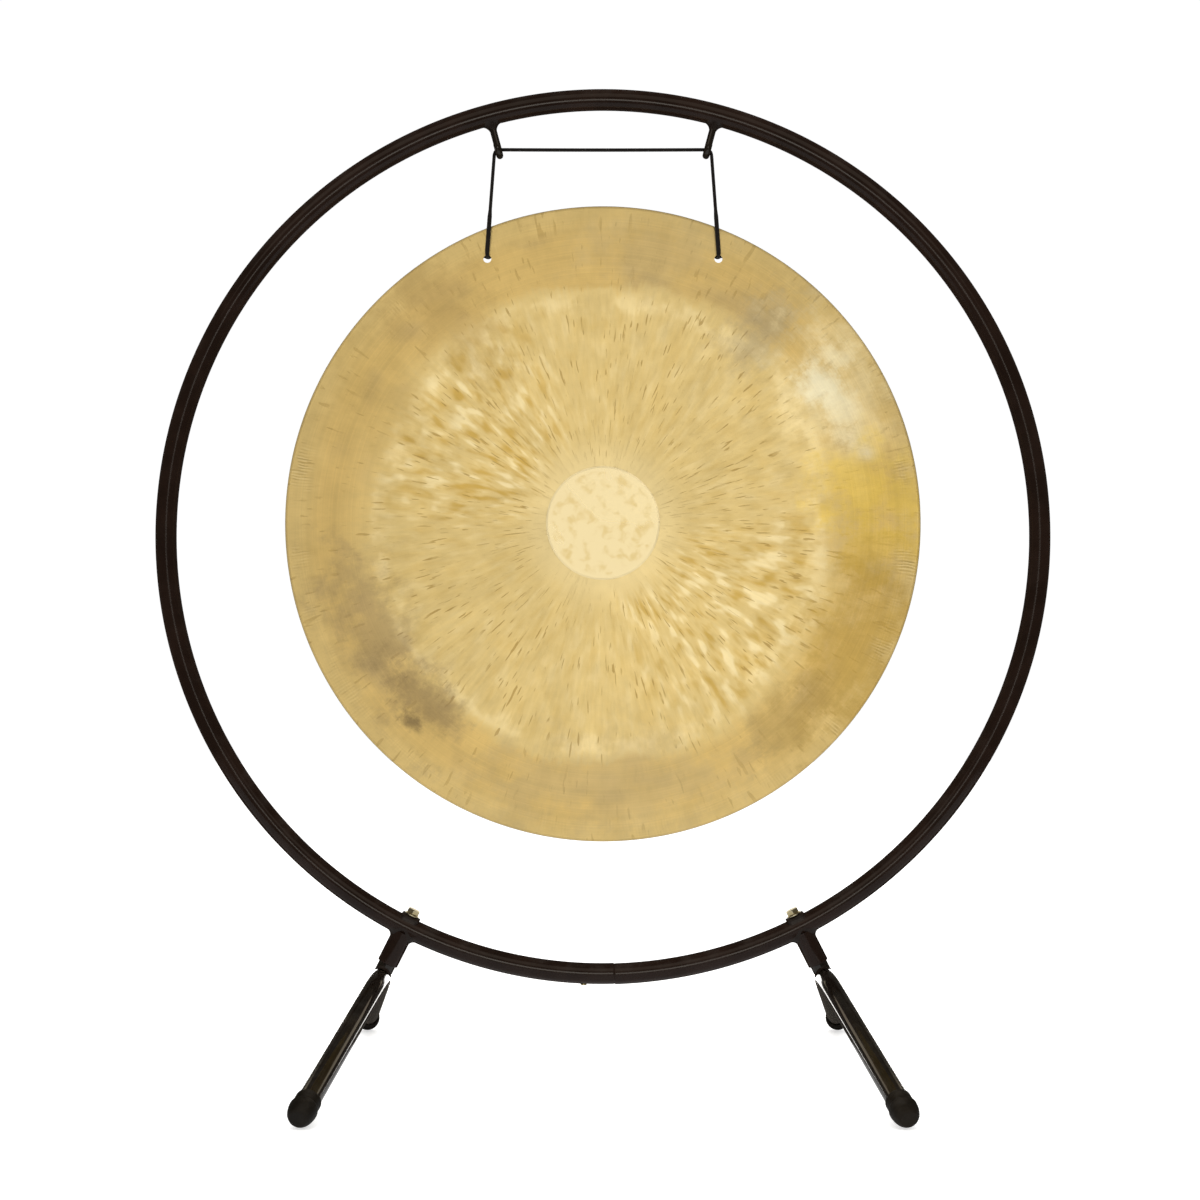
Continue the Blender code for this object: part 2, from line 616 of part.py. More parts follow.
def make_cord_end(side, sign, hang):
    """The cord from its pivot through the hole to the knot and the loose end behind."""
    name = "cord_knot_" + side
    x = sign * HOLE_SPACING / 2
    top = Vector((x, 0, -CUP_RADIUS))
    points = [top + Vector((0, 0, CUP_RADIUS - CORD_GAP)), top]
    points += quarter_turn(top, CORD_BEND_RADIUS, True)
    back = CORD_FACE_OFFSET + GONG_THICKNESS + CORD_GAP + KNOT_LEAD
    points.append(Vector((x, back, CORD_LEVEL)))
    widths = [1] * len(points)
    for step in range(KNOT_STEPS + 1):
        share = step / KNOT_STEPS
        wave = KNOT_SHOULDER + (1 - 2 * KNOT_SHOULDER) * share
        points.append(Vector((x, back + CORD_GAP + KNOT_LENGTH * share, CORD_LEVEL)))
        widths.append(KNOT_DIAMETER / CORD_DIAMETER * sin(pi * wave) ** KNOT_FULLNESS)
    tail = quarter_turn(points[-1] + Vector((0, CORD_GAP, 0)), TAIL_BEND_RADIUS, False)
    for step in range(1, TAIL_STEPS + 1):
        tail.append(tail[CORD_TURN_STEPS - 1] - Vector((0, 0, CORD_TAIL * step / TAIL_STEPS)))
    widths += [1] * len(tail)
    mesh = curve_mesh(name, points + tail, CORD_DIAMETER / 2, CORD_ROUND, widths=widths)
    knot = add_object(name, mesh, black_cord, hang)
    tool = cutter("knot_cup_" + side, ball_mesh("knot_cup", CUP_RADIUS))
    tool.parent = hang
    tool.matrix_local = Matrix.Translation((x, 0, 0))
    carve(knot, tool)


def make_pivot(name, place, parent=None):
    pivot = bpy.data.objects.new(name, None)
    bpy.context.collection.objects.link(pivot)
    pivot.parent = parent
    pivot.matrix_local = place
    return pivot


def build():
    clear_scene()
    make_hoop()
    make_splice()
    make_splice_screw()
    hoop_shape = hoop_cutter("hoop_shape", WELD_GAP)
    floor = make_floor_cutter()
    swing = make_pivot("cord_swing_axis", Matrix.Translation((0, CORD_Y, SWING_Z)))
    rest = Matrix.Translation((0, 0, TILT_Z - SWING_Z)) @ Matrix.Rotation(-hang_tilt(), 4, "X")
    hang = make_pivot("gong_tilt_axis", rest, swing)
    for side, sign in SIDES.items():
        make_socket(side, sign, hoop_shape)
        leg_shape = make_leg(side, sign)
        make_spigot(side, sign, leg_shape)
        make_saddle(side, sign, hoop_shape)
        make_washer(side, sign)
        make_bolt(side, sign)
        make_hook(side, sign, hoop_shape)
        make_cord_drop(side, sign, swing)
        make_cord_end(side, sign, hang)
        for end, end_sign in ENDS.items():
            make_foot(end, end_sign, side, sign, floor)
    make_cord_span()
    make_gong(hang)
    bpy.context.view_layer.update()


build()
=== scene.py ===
import json
from math import atan2, ceil, cos, pi, radians, sin, sqrt, tan

import bmesh
import bpy
import numpy as np
from mathutils import Matrix, Vector

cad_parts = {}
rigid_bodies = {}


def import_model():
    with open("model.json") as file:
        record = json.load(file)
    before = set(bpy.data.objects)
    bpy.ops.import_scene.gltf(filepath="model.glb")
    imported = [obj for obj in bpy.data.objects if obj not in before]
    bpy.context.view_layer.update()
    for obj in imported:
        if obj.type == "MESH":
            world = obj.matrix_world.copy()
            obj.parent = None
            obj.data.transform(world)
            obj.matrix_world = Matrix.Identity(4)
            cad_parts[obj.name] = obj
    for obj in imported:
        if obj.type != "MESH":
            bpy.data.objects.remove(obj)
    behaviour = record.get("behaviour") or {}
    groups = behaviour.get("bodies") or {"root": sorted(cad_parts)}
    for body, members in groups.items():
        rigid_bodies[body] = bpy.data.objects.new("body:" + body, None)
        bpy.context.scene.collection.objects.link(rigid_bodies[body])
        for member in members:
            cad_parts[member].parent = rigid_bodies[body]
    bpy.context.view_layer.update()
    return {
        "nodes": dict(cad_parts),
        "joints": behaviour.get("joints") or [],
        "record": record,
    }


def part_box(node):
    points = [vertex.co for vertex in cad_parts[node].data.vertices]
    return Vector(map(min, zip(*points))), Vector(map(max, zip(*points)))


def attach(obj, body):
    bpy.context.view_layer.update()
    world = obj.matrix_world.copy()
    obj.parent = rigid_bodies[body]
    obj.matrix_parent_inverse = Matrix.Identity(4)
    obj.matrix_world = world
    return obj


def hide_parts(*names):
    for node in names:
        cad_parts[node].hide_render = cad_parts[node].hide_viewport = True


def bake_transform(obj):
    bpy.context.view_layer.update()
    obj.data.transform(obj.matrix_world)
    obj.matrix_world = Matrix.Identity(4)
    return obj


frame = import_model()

sides = {"left": -1, "right": 1}
ends = {"front": -1, "rear": 1}
mm = 0.001

# where everything sits, read off the frame
hoopLow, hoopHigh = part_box("hoop_tube")
tubeRadius = (hoopHigh.y - hoopLow.y) / 2
hoopRadius = (hoopHigh.x - hoopLow.x) / 2 - tubeRadius
hoopCentre = Vector((0, 0, (hoopLow.z + hoopHigh.z) / 2))
legLow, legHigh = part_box("leg_tube_right")
legTop = Vector((legLow.x + tubeRadius, 0, legHigh.z - tubeRadius))
legAngle = atan2(legTop.x, hoopCentre.z - legTop.z)
legTopRadius = (legTop - hoopCentre).length
footPatches = {mount["name"]: Vector(mount["pos_m"]) for mount in frame["record"]["mounts"]}
joints = {joint["name"]: joint for joint in frame["joints"]}
swingPivot = Vector(joints["cord_swing"]["pos_m"])
tiltPivot = Vector(joints["gong_tilt"]["pos_m"])


# small helpers for meshes

def objectFrom(name, mesh, materials, body=None, smooth=40):
    thing = bpy.data.objects.new(name, mesh)
    bpy.context.scene.collection.objects.link(thing)
    for material in materials:
        mesh.materials.append(material)
    mesh.shade_smooth()
    if smooth < 180:
        mesh.set_sharp_from_angle(angle=radians(smooth))
    if body:
        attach(thing, body)
    return thing


def ringMesh(name, rings, loopAlong=False, capStart=False, capEnd=False, alongs=None):
    # rings: array of rows by points by 3; each row closes on itself
    rows, points = rings.shape[:2]
    verts = rings.reshape(-1, 3)
    faces = []
    last = rows if loopAlong else rows - 1
    for row in range(last):
        above = (row + 1) % rows
        for point in range(points):
            beside = (point + 1) % points
            faces.append((row * points + point, row * points + beside,
                          above * points + beside, above * points + point))
    quads = len(faces)
    if capStart:
        faces.append(tuple(reversed(range(points))))
    if capEnd:
        faces.append(tuple(range((rows - 1) * points, rows * points)))
    mesh = bpy.data.meshes.new(name)
    mesh.from_pydata(verts.tolist(), [], faces)
    if alongs is not None:
        layer = mesh.uv_layers.new(name="wrap")
        spots = np.zeros((len(mesh.loops), 2), np.float32)
        for quad in range(quads):
            row, point = divmod(quad, points)
            corners = ((row, point), (row, point + 1), (row + 1, point + 1), (row + 1, point))
            for corner, (r, p) in enumerate(corners):
                spots[quad * 4 + corner] = (alongs[min(r, rows - 1)], p / points)
        layer.data.foreach_set("uv", spots.ravel())
    mesh.validate()
    mesh.update()
    return mesh


def turned(profile, count, place=Matrix()):
    # rings of a turned shape from (radius, height) pairs
    angles = np.linspace(0, 2 * pi, count, endpoint=False)
    rings = np.zeros((len(profile), count, 3))
    for row, (radius, height) in enumerate(profile):
        rings[row, :, 0] = radius * np.cos(angles)
        rings[row, :, 1] = radius * np.sin(angles)
        rings[row, :, 2] = height
    return moved(rings, place)


def moved(rings, place):
    matrix = np.array(place)
    return rings @ matrix[:3, :3].T + matrix[:3, 3]


def tubeRings(path, radii, count, startSide):
    # rings round a path with a frame carried along it without twist
    path = np.asarray(path, float)
    tangents = np.gradient(path, axis=0)
    tangents /= np.linalg.norm(tangents, axis=1)[:, None]
    side = np.asarray(startSide, float)
    angles = np.linspace(0, 2 * pi, count, endpoint=False)
    rings = np.zeros((len(path), count, 3))
    radii = np.broadcast_to(np.asarray(radii, float), (len(path),)) if np.ndim(radii) < 2 else radii
    for row in range(len(path)):
        side = side - tangents[row] * (side @ tangents[row])
        side /= np.linalg.norm(side)
        other = np.cross(tangents[row], side)
        ring = np.outer(np.cos(angles), side) + np.outer(np.sin(angles), other)
        rings[row] = path[row] + ring * np.reshape(radii[row], (-1, 1))
    return rings


def arcLengths(path):
    path = np.asarray(path, float)
    return np.concatenate([[0], np.cumsum(np.linalg.norm(np.diff(path, axis=0), axis=1))])


def resample(path, spacing):
    path = np.asarray(path, float)
    lengths = arcLengths(path)
    count = max(2, int(ceil(lengths[-1] / spacing)) + 1)
    wanted = np.linspace(0, lengths[-1], count)
    return np.stack([np.interp(wanted, lengths, path[:, axis]) for axis in range(3)], axis=1)


def outward(angle):
    # from the hoop's centre, counted from straight down
    return Vector((sin(angle), 0, -cos(angle)))


def radialFrame(angle, distance):
    # Z points out along the hoop's radius, X along the hoop, Y to the front
    out = outward(angle)
    across = Vector((cos(angle), 0, sin(angle)))
    turn = Matrix((across, out.cross(across), out)).transposed().to_4x4()
    return Matrix.Translation(hoopCentre + out * distance) @ turn


# small helpers for materials

def put(tree, kind, values=None, **settings):
    made = tree.nodes.new(kind)
    for key, value in settings.items():
        setattr(made, key, value)
    for key, value in (values or {}).items():
        socket = made.inputs[key]
        if isinstance(value, bpy.types.NodeSocket):
            tree.links.new(value, socket)
        else:
            socket.default_value = value
    return made


def calc(tree, operation, *values, clamp=False):
    values = dict(enumerate(values))
    return put(tree, "ShaderNodeMath", values, operation=operation, use_clamp=clamp).outputs[0]


def times(tree, first, second, clamp=False):
    return calc(tree, "MULTIPLY", first, second, clamp=clamp)


def plus(tree, first, second):
    return calc(tree, "ADD", first, second)


def minus(tree, first, second):
    return calc(tree, "SUBTRACT", first, second)


def timesPlus(tree, first, second, third, clamp=False):
    return calc(tree, "MULTIPLY_ADD", first, second, third, clamp=clamp)


def remap(tree, value, low, high, newLow=0.0, newHigh=1.0, smooth=True):
    kind = "SMOOTHSTEP" if smooth else "LINEAR"
    values = {0: value, 1: low, 2: high, 3: newLow, 4: newHigh}
    return put(tree, "ShaderNodeMapRange", values, interpolation_type=kind).outputs[0]


def mixColours(tree, share, first, second, blend="MIX"):
    values = {0: share, 6: first, 7: second}
    return put(tree, "ShaderNodeMix", values, data_type="RGBA", blend_type=blend).outputs[2]


def noise(tree, vector, scale, detail=2.0, roughness=0.5, distortion=0.0):
    values = {"Vector": vector, "Scale": scale, "Detail": detail,
              "Roughness": roughness, "Distortion": distortion}
    return put(tree, "ShaderNodeTexNoise", values).outputs["Fac"]


def ownPlace(tree):
    return put(tree, "ShaderNodeTexCoord").outputs["Object"]


def rgb(colour):
    return (*colour, 1.0)


def newGroup(name, inputs, outputs):
    group = bpy.data.node_groups.new(name, "ShaderNodeTree")
    for label, value in inputs.items():
        socket = group.interface.new_socket(name=label, in_out="INPUT",
                                            socket_type="NodeSocketFloat")
        socket.default_value = value
    for label in outputs:
        group.interface.new_socket(name=label, in_out="OUTPUT", socket_type="NodeSocketFloat")
    return group, group.nodes.new("NodeGroupInput").outputs, group.nodes.new("NodeGroupOutput").inputs


def place(tree, group, **values):
    made = tree.nodes.new("ShaderNodeGroup")
    made.node_tree = group
    for label, value in values.items():
        socket = made.inputs[label]
        if isinstance(value, bpy.types.NodeSocket):
            tree.links.new(value, socket)
        else:
            socket.default_value = value
    return made.outputs


def newMaterial(name, **plain):
    material = bpy.data.materials.new(name)
    material.use_nodes = True
    tree = material.node_tree
    shader = tree.nodes["Principled BSDF"]
    for label, value in plain.items():
        shader.inputs[label].default_value = value
    return material, tree, shader.inputs


def addBump(tree, inputs, height, strength, distance):
    values = {"Height": height, "Strength": strength, "Distance": distance}
    tree.links.new(put(tree, "ShaderNodeBump", values).outputs[0], inputs["Normal"])


# effects that several finishes share

def makeOrangePeel():
    group, give, take = newGroup("orangePeel", {"Size": 1.6, "Depth": 1.0}, ["Height", "Cloud"])
    where = ownPlace(group)
    scale = calc(group, "DIVIDE", 1000.0, give["Size"])
    skin = noise(group, where, scale, 2.0, 0.55)
    group.links.new(times(group, skin, give["Depth"]), take["Height"])
    group.links.new(noise(group, where, 28.0, 3.0, 0.6), take["Cloud"])
    return group


def makeDust():
    # settles on what looks up, in clumps, with a few specks
    group, give, take = newGroup("dust", {"Amount": 0.3, "Grain": 0.5}, ["Mask"])
    normal = put(group, "ShaderNodeNewGeometry").outputs["Normal"]
    up = put(group, "ShaderNodeSeparateXYZ", {0: normal}).outputs[2]
    facing = remap(group, up, -0.1, 0.95)
    where = ownPlace(group)
    clump = remap(group, noise(group, where, 60.0, 4.0, 0.65), 0.42, 0.72)
    scale = calc(group, "DIVIDE", 1000.0, give["Grain"])
    speck = remap(group, noise(group, where, scale, 1.0, 0.5), 0.66, 0.76)
    both = plus(group, times(group, clump, 0.55), times(group, speck, 0.5))
    spread = times(group, both, plus(group, times(group, facing, 0.9), 0.1))
    group.links.new(times(group, spread, give["Amount"], clamp=True), take["Mask"])
    return group


def makeEdgeWear():
    group, give, take = newGroup("edgeWear", {"Amount": 0.5, "Size": 2.0}, ["Mask"])
    crease = put(group, "ShaderNodeNewGeometry").outputs["Pointiness"]
    edge = remap(group, crease, 0.515, 0.58)
    scale = calc(group, "DIVIDE", 1000.0, give["Size"])
    patchy = remap(group, noise(group, ownPlace(group), scale, 3.0, 0.6), 0.35, 0.65)
    worn = times(group, edge, patchy)
    group.links.new(times(group, worn, give["Amount"], clamp=True), take["Mask"])
    return group


def makeHairlines():
    # fine scratches in no set direction
    group, give, take = newGroup("hairlines", {"Size": 6.0, "Amount": 0.5}, ["Mask"])
    where = ownPlace(group)
    scale = calc(group, "DIVIDE", 1000.0, give["Size"])
    lines = None
    for turn, stretch in ((0.4, 9.0), (1.7, 11.0), (2.6, 8.0)):
        turned = put(group, "ShaderNodeMapping", {"Vector": where, "Rotation": (0.3, turn, turn),
                                                 "Scale": (1.0, stretch, 1.0)}).outputs[0]
        line = remap(group, noise(group, turned, scale, 1.0, 0.5), 0.64, 0.70)
        lines = line if lines is None else calc(group, "MAXIMUM", lines, line)
    group.links.new(times(group, lines, give["Amount"], clamp=True), take["Mask"])
    return group


orangePeel = makeOrangePeel()
dust = makeDust()
edgeWear = makeEdgeWear()
hairlines = makeHairlines()


def blackPaint(name, tint, warm, peel=1.6, roughness=0.2, dusty=0.25, worn=0.3, shine=0.5, coat=0.35,
               relief=0.2):
    material, tree, inputs = newMaterial(name, **{"IOR": 1.5, "Coat Roughness": 0.06,
                                                  "Specular IOR Level": shine})
    skin = place(tree, orangePeel, Size=peel, Depth=1.0)
    film = place(tree, dust, Amount=dusty, Grain=0.6)
    edge = place(tree, edgeWear, Amount=worn, Size=2.5)
    cloud = remap(tree, skin["Cloud"], 0.35, 0.68)
    colour = mixColours(tree, cloud, rgb(tint), rgb(warm))
    colour = mixColours(tree, edge["Mask"], colour, rgb((0.085, 0.070, 0.055)))
    colour = mixColours(tree, film["Mask"], colour, rgb((0.16, 0.15, 0.13)))
    tree.links.new(colour, inputs["Base Color"])
    rough = timesPlus(tree, cloud, 0.06, roughness - 0.03)
    rough = timesPlus(tree, film["Mask"], 0.5, rough)
    rough = timesPlus(tree, edge["Mask"], 0.2, rough)
    tree.links.new(rough, inputs["Roughness"])
    lacquer = timesPlus(tree, film["Mask"], -0.8, coat, clamp=True)
    tree.links.new(lacquer, inputs["Coat Weight"])
    addBump(tree, inputs, skin["Height"], relief, 0.0003)
    return material


def yellowZinc(name):
    material, tree, inputs = newMaterial(name)
    skin = place(tree, orangePeel, Size=0.5, Depth=1.0)
    edge = place(tree, edgeWear, Amount=0.8, Size=1.0)
    marks = place(tree, hairlines, Size=3.0, Amount=0.5)
    film = place(tree, dust, Amount=0.25, Grain=0.3)
    cloud = remap(tree, skin["Cloud"], 0.35, 0.65)
    colour = mixColours(tree, cloud, rgb((0.80, 0.74, 0.50)), rgb((0.74, 0.62, 0.33)))
    colour = mixColours(tree, edge["Mask"], colour, rgb((0.86, 0.84, 0.76)))
    colour = mixColours(tree, film["Mask"], colour, rgb((0.45, 0.40, 0.32)))
    tree.links.new(colour, inputs["Base Color"])
    tree.links.new(timesPlus(tree, film["Mask"], -0.5, 1.0, clamp=True), inputs["Metallic"])
    rough = timesPlus(tree, skin["Height"], 0.2, 0.2)
    rough = timesPlus(tree, marks["Mask"], 0.15, rough)
    tree.links.new(rough, inputs["Roughness"])
    addBump(tree, inputs, minus(tree, skin["Height"], marks["Mask"]), 0.25, 0.00008)
    return material


def footRubber(name):
    material, tree, inputs = newMaterial(name, **{"Specular IOR Level": 0.17})
    skin = place(tree, orangePeel, Size=0.45, Depth=1.0)
    film = place(tree, dust, Amount=0.16, Grain=0.5)
    edge = place(tree, edgeWear, Amount=0.3, Size=1.5)
    cloud = remap(tree, skin["Cloud"], 0.3, 0.7)
    colour = mixColours(tree, cloud, rgb((0.0050, 0.0036, 0.0020)), rgb((0.0105, 0.0072, 0.0036)))
    colour = mixColours(tree, edge["Mask"], colour, rgb((0.06, 0.052, 0.043)))
    colour = mixColours(tree, film["Mask"], colour, rgb((0.14, 0.13, 0.115)))
    tree.links.new(colour, inputs["Base Color"])
    rough = timesPlus(tree, cloud, 0.12, 0.52)
    tree.links.new(timesPlus(tree, film["Mask"], 0.3, rough, clamp=True), inputs["Roughness"])
    addBump(tree, inputs, skin["Height"], 0.5, 0.0002)
    return material


def bareSteel(name):
    material, tree, inputs = newMaterial(name)
    skin = place(tree, orangePeel, Size=0.8, Depth=1.0)
    marks = place(tree, hairlines, Size=4.0, Amount=0.7)
    cloud = remap(tree, skin["Cloud"], 0.3, 0.7)
    colour = mixColours(tree, cloud, rgb((0.46, 0.45, 0.43)), rgb((0.36, 0.34, 0.31)))
    tree.links.new(colour, inputs["Base Color"])
    inputs["Metallic"].default_value = 1.0
    tree.links.new(timesPlus(tree, marks["Mask"], 0.2, 0.38), inputs["Roughness"])
    addBump(tree, inputs, skin["Height"], 0.3, 0.0001)
    return material


hoopPaint = blackPaint("hoopPaint", (0.0080, 0.0040, 0.0025), (0.0120, 0.0058, 0.0036),
                       roughness=0.17, dusty=0.10, worn=0.12, shine=0.24, coat=0.0, relief=0.05)
legPaint = blackPaint("legPaint", (0.0050, 0.0036, 0.0024), (0.0085, 0.0060, 0.0034), roughness=0.12,
                      dusty=0.07, worn=0.2, shine=0.42, coat=0.25, relief=0.07)
weldPaint = blackPaint("weldPaint", (0.0070, 0.0040, 0.0026), (0.0105, 0.0058, 0.0038), peel=0.9,
                       roughness=0.3, dusty=0.3, worn=0.1, shine=0.25, coat=0.0)
zinc = yellowZinc("yellowZinc")
rubber = footRubber("footRubber")
steel = bareSteel("bareSteel")
print("finishes for the stand made")


# hoop: one bent tube whose ends meet at a butt seam near the bottom

hoop = {
    "steps": 1700,
    "around": 40,
    "seamAngle": 1.5,        # degrees right of the bottom
    "seamWidth": 0.9 * mm,
    "seamDepth": 0.45 * mm,
    "kink": 0.35 * mm,       # how far the two ends miss each other
    "kinkReach": 0.035,
}


def makeHoop():
    seam = radians(hoop["seamAngle"])
    fine = np.linspace(-1, 1, 121)
    near = np.sign(fine) * np.abs(fine) ** 2.2 * radians(4)
    rest = np.linspace(radians(4), 2 * pi - radians(4), hoop["steps"])[1:-1]
    turns = np.concatenate([near, rest])
    away = np.where(turns > pi, turns - 2 * pi, turns) * hoopRadius
    groove = np.exp(-((away / (hoop["seamWidth"] / 2)) ** 2)) * hoop["seamDepth"]
    miss = np.sign(away) * np.exp(-np.abs(away) / hoop["kinkReach"]) * hoop["kink"] / 2
    miss *= 1 - np.exp(-((away / (hoop["seamWidth"] / 3)) ** 2))
    angles = seam + turns
    around = np.linspace(0, 2 * pi, hoop["around"], endpoint=False)
    rings = np.zeros((len(turns), hoop["around"], 3))
    for row, angle in enumerate(angles):
        out = np.array([sin(angle), 0, -cos(angle)])
        middle = np.array(hoopCentre) + out * (hoopRadius + miss[row])
        radius = tubeRadius - groove[row]
        rings[row] = middle + radius * (np.outer(np.cos(around), out)
                                        + np.outer(np.sin(around), (0, 1, 0)))
    mesh = ringMesh("hoop", rings, loopAlong=True)
    piece = objectFrom("hoop", mesh, [hoopPaint], "stand", 60)
    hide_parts("hoop_tube")


makeHoop()
frame["nodes"]["hoop_splice_sleeve"].data.materials.clear()
frame["nodes"]["hoop_splice_sleeve"].data.materials.append(steel)
print("hoop made")


# welds: a rippled fillet where a round piece meets a tube

def weldRings(bore, tube, reach, place, up=1, ripple=0.14, pitch=1.3 * mm, steps=160, seed=0):
    # the piece stands along Z on a tube that runs along X, whose middle is at z = 0
    turns = np.linspace(0, 2 * pi, steps, endpoint=False)
    rng = np.random.default_rng(seed)
    wobble = sum(rng.uniform(-1, 1) * np.cos(k * turns + rng.uniform(0, 6)) for k in (2, 3, 5)) / 3
    run = bore * turns
    wave = 1 + ripple * np.abs(np.sin(pi * run / pitch)) - ripple / 2 + 0.12 * wobble
    rows = []
    shares = np.linspace(0, 1, 12)
    for share in shares:
        row = np.zeros((steps, 3))
        for index, turn in enumerate(turns):
            across, along = sin(turn), cos(turn)
            size = reach * wave[index] * (0.35 + 0.65 * abs(along) if bore > 0.7 * tube else 1)
            base = bore + size
            low = min(base * abs(across), tube * 0.985)
            stand = sqrt(tube**2 - min(bore * abs(across), tube * 0.985) ** 2)
            foot = Vector((base * along, low * (1 if across >= 0 else -1),
                           sqrt(tube**2 - low**2) - 0.15 * mm))
            head = Vector((bore * along * 0.985, bore * across * 0.985, stand + size))
            root = Vector((bore * along, bore * across, stand))
            bend = root.lerp((foot + head) / 2, 0.42 + 0.1 * wave[index] - 0.1)
            point = foot * (1 - share) ** 2 + bend * 2 * share * (1 - share) + head * share**2
            row[index] = (point.x, point.y, point.z * up)
        rows.append(row)
    return moved(np.array(rows), place)


def makeWeld(name, bore, tube, reach, place, material=None, **more):
    mesh = ringMesh(name, weldRings(bore, tube, reach, place, **more))
    piece = objectFrom(name, mesh, [material or weldPaint], "stand", 50)
    return piece


# sockets and spigots that carry the legs

socket = {
    "around": 64,
    "mouth": 0.45 * mm,        # rounding of the mouth's edge
    "length": 35 * mm,         # from the middle of the hoop's tube
    "wall": 1.3 * mm,
    "spigotRadius": 7.5 * mm,
    "weld": 3.6 * mm,
    "neckWeld": 2.3 * mm,
}


def makeSocket(side, sign):
    place = radialFrame(sign * legAngle, hoopRadius)
    outer, edge, top = tubeRadius, socket["mouth"], socket["length"]
    inner = outer - socket["wall"]
    profile = [(outer, 5 * mm), (outer, 12 * mm), (outer, 20 * mm), (outer, top - edge)]
    for step in range(1, 6):
        turn = pi / 2 * step / 5
        profile.append((outer - edge * (1 - cos(turn)), top - edge * (1 - sin(turn))))
    profile += [(inner + 0.2 * mm, top), (inner, top - 0.25 * mm), (inner, top - 8 * mm)]
    mesh = ringMesh("legSocket_" + side, turned(profile, socket["around"], place))
    piece = objectFrom("legSocket_" + side, mesh, [hoopPaint], "stand", 50)
    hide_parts("leg_socket_" + side)
    makeWeld("socketWeld_" + side, outer, tubeRadius, socket["weld"], place, seed=3 + sign)


def makeSpigot(side, sign):
    place = radialFrame(sign * legAngle, hoopRadius)
    radius = socket["spigotRadius"]
    legAway = legTopRadius - hoopRadius
    start = socket["length"] - 8 * mm
    profile = [(radius - 1 * mm, start), (radius, start + 1 * mm)]
    profile += [(radius, start + (legAway - start) * share) for share in (0.3, 0.6, 1.0)]
    mesh = ringMesh("legSpigot_" + side, turned(profile, socket["around"], place), capStart=True)
    piece = objectFrom("legSpigot_" + side, mesh, [legPaint], "stand", 50)
    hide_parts("leg_spigot_" + side)
    quarter = Matrix.Rotation(pi / 2, 4, "Z")
    flip = Matrix.Translation((0, 0, legAway))
    makeWeld("spigotWeld_" + side, radius, tubeRadius, socket["neckWeld"],
             place @ flip @ quarter, up=-1, seed=7 + sign, pitch=1.1 * mm)


for side, sign in sides.items():
    makeSocket(side, sign)
    makeSpigot(side, sign)
print("sockets and spigots made")


# legs: a tube bent over the spigot, front foot to rear foot

leg = {
    "around": 36,
    "bendRadius": 80 * mm,
    "bendSteps": 40,
    "limbSteps": 30,
    "ovalled": 0.012,          # how much the bend flattens the tube
}
footRadius = 12 * mm
footPatchDepth = 0.4 * mm


def footMiddle(end, side):
    patch = footPatches["foot_" + end + "_" + side + "_patch"]
    return patch + Vector((0, 0, footRadius - footPatchDepth))


def legSlope():
    foot = footMiddle("rear", "right")
    spread, drop = foot.y, (Vector((foot.x, 0, foot.z)) - legTop).length
    low, high = 0.0, radians(80)
    bend = leg["bendRadius"]
    for _ in range(60):
        slope = (low + high) / 2
        fall = bend * (1 - cos(slope)) + (spread - bend * sin(slope)) * tan(slope)
        low, high = (slope, high) if fall < drop else (low, slope)
    return slope, spread, drop


def legPath(sign):
    slope, spread, drop = legSlope()
    bend = leg["bendRadius"]
    turns = np.linspace(0, slope, leg["bendSteps"])
    half = [(bend * sin(turn), bend * (1 - cos(turn))) for turn in turns]
    shares = np.linspace(0, 1, leg["limbSteps"])[1:]
    start = half[-1]
    half += [(start[0] + (spread - start[0]) * share, start[1] + (drop - start[1]) * share)
             for share in shares]
    out = outward(sign * legAngle)
    points = [(-y, fall) for y, fall in reversed(half)] + half[1:]
    return [hoopCentre + out * (legTopRadius + fall) + Vector((0, y, 0)) for y, fall in points]


def makeLeg(side, sign):
    path = legPath(sign)
    rings = tubeRings(path, tubeRadius, leg["around"], outward(sign * legAngle))
    out = np.array(outward(sign * legAngle))
    for row, point in enumerate(path):
        near = max(0, 1 - abs(point.y) / (leg["bendRadius"] * sin(legSlope()[0])))
        offset = rings[row] - np.array(point)
        squeeze = np.outer(offset @ out, out) * leg["ovalled"] * min(1, 3 * near)
        rings[row] -= squeeze
    mesh = ringMesh("legTube_" + side, rings, capStart=True, capEnd=True)
    piece = objectFrom("legTube_" + side, mesh, [legPaint], "stand", 60)
    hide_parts("leg_tube_" + side)


# rubber feet: a sleeve over the tube's end and a wider round tip

foot = {
    "around": 72,
    "sleeveRadius": 10.3 * mm,
    "widest": 11.2 * mm,
    "sleeveLength": 16 * mm,
    "tipFlat": 1.5 * mm,
    "grooveDepth": 0.22 * mm,
    "grooves": (-13.2 * mm, -11.9 * mm),
    "partingLine": 0.10 * mm,
}


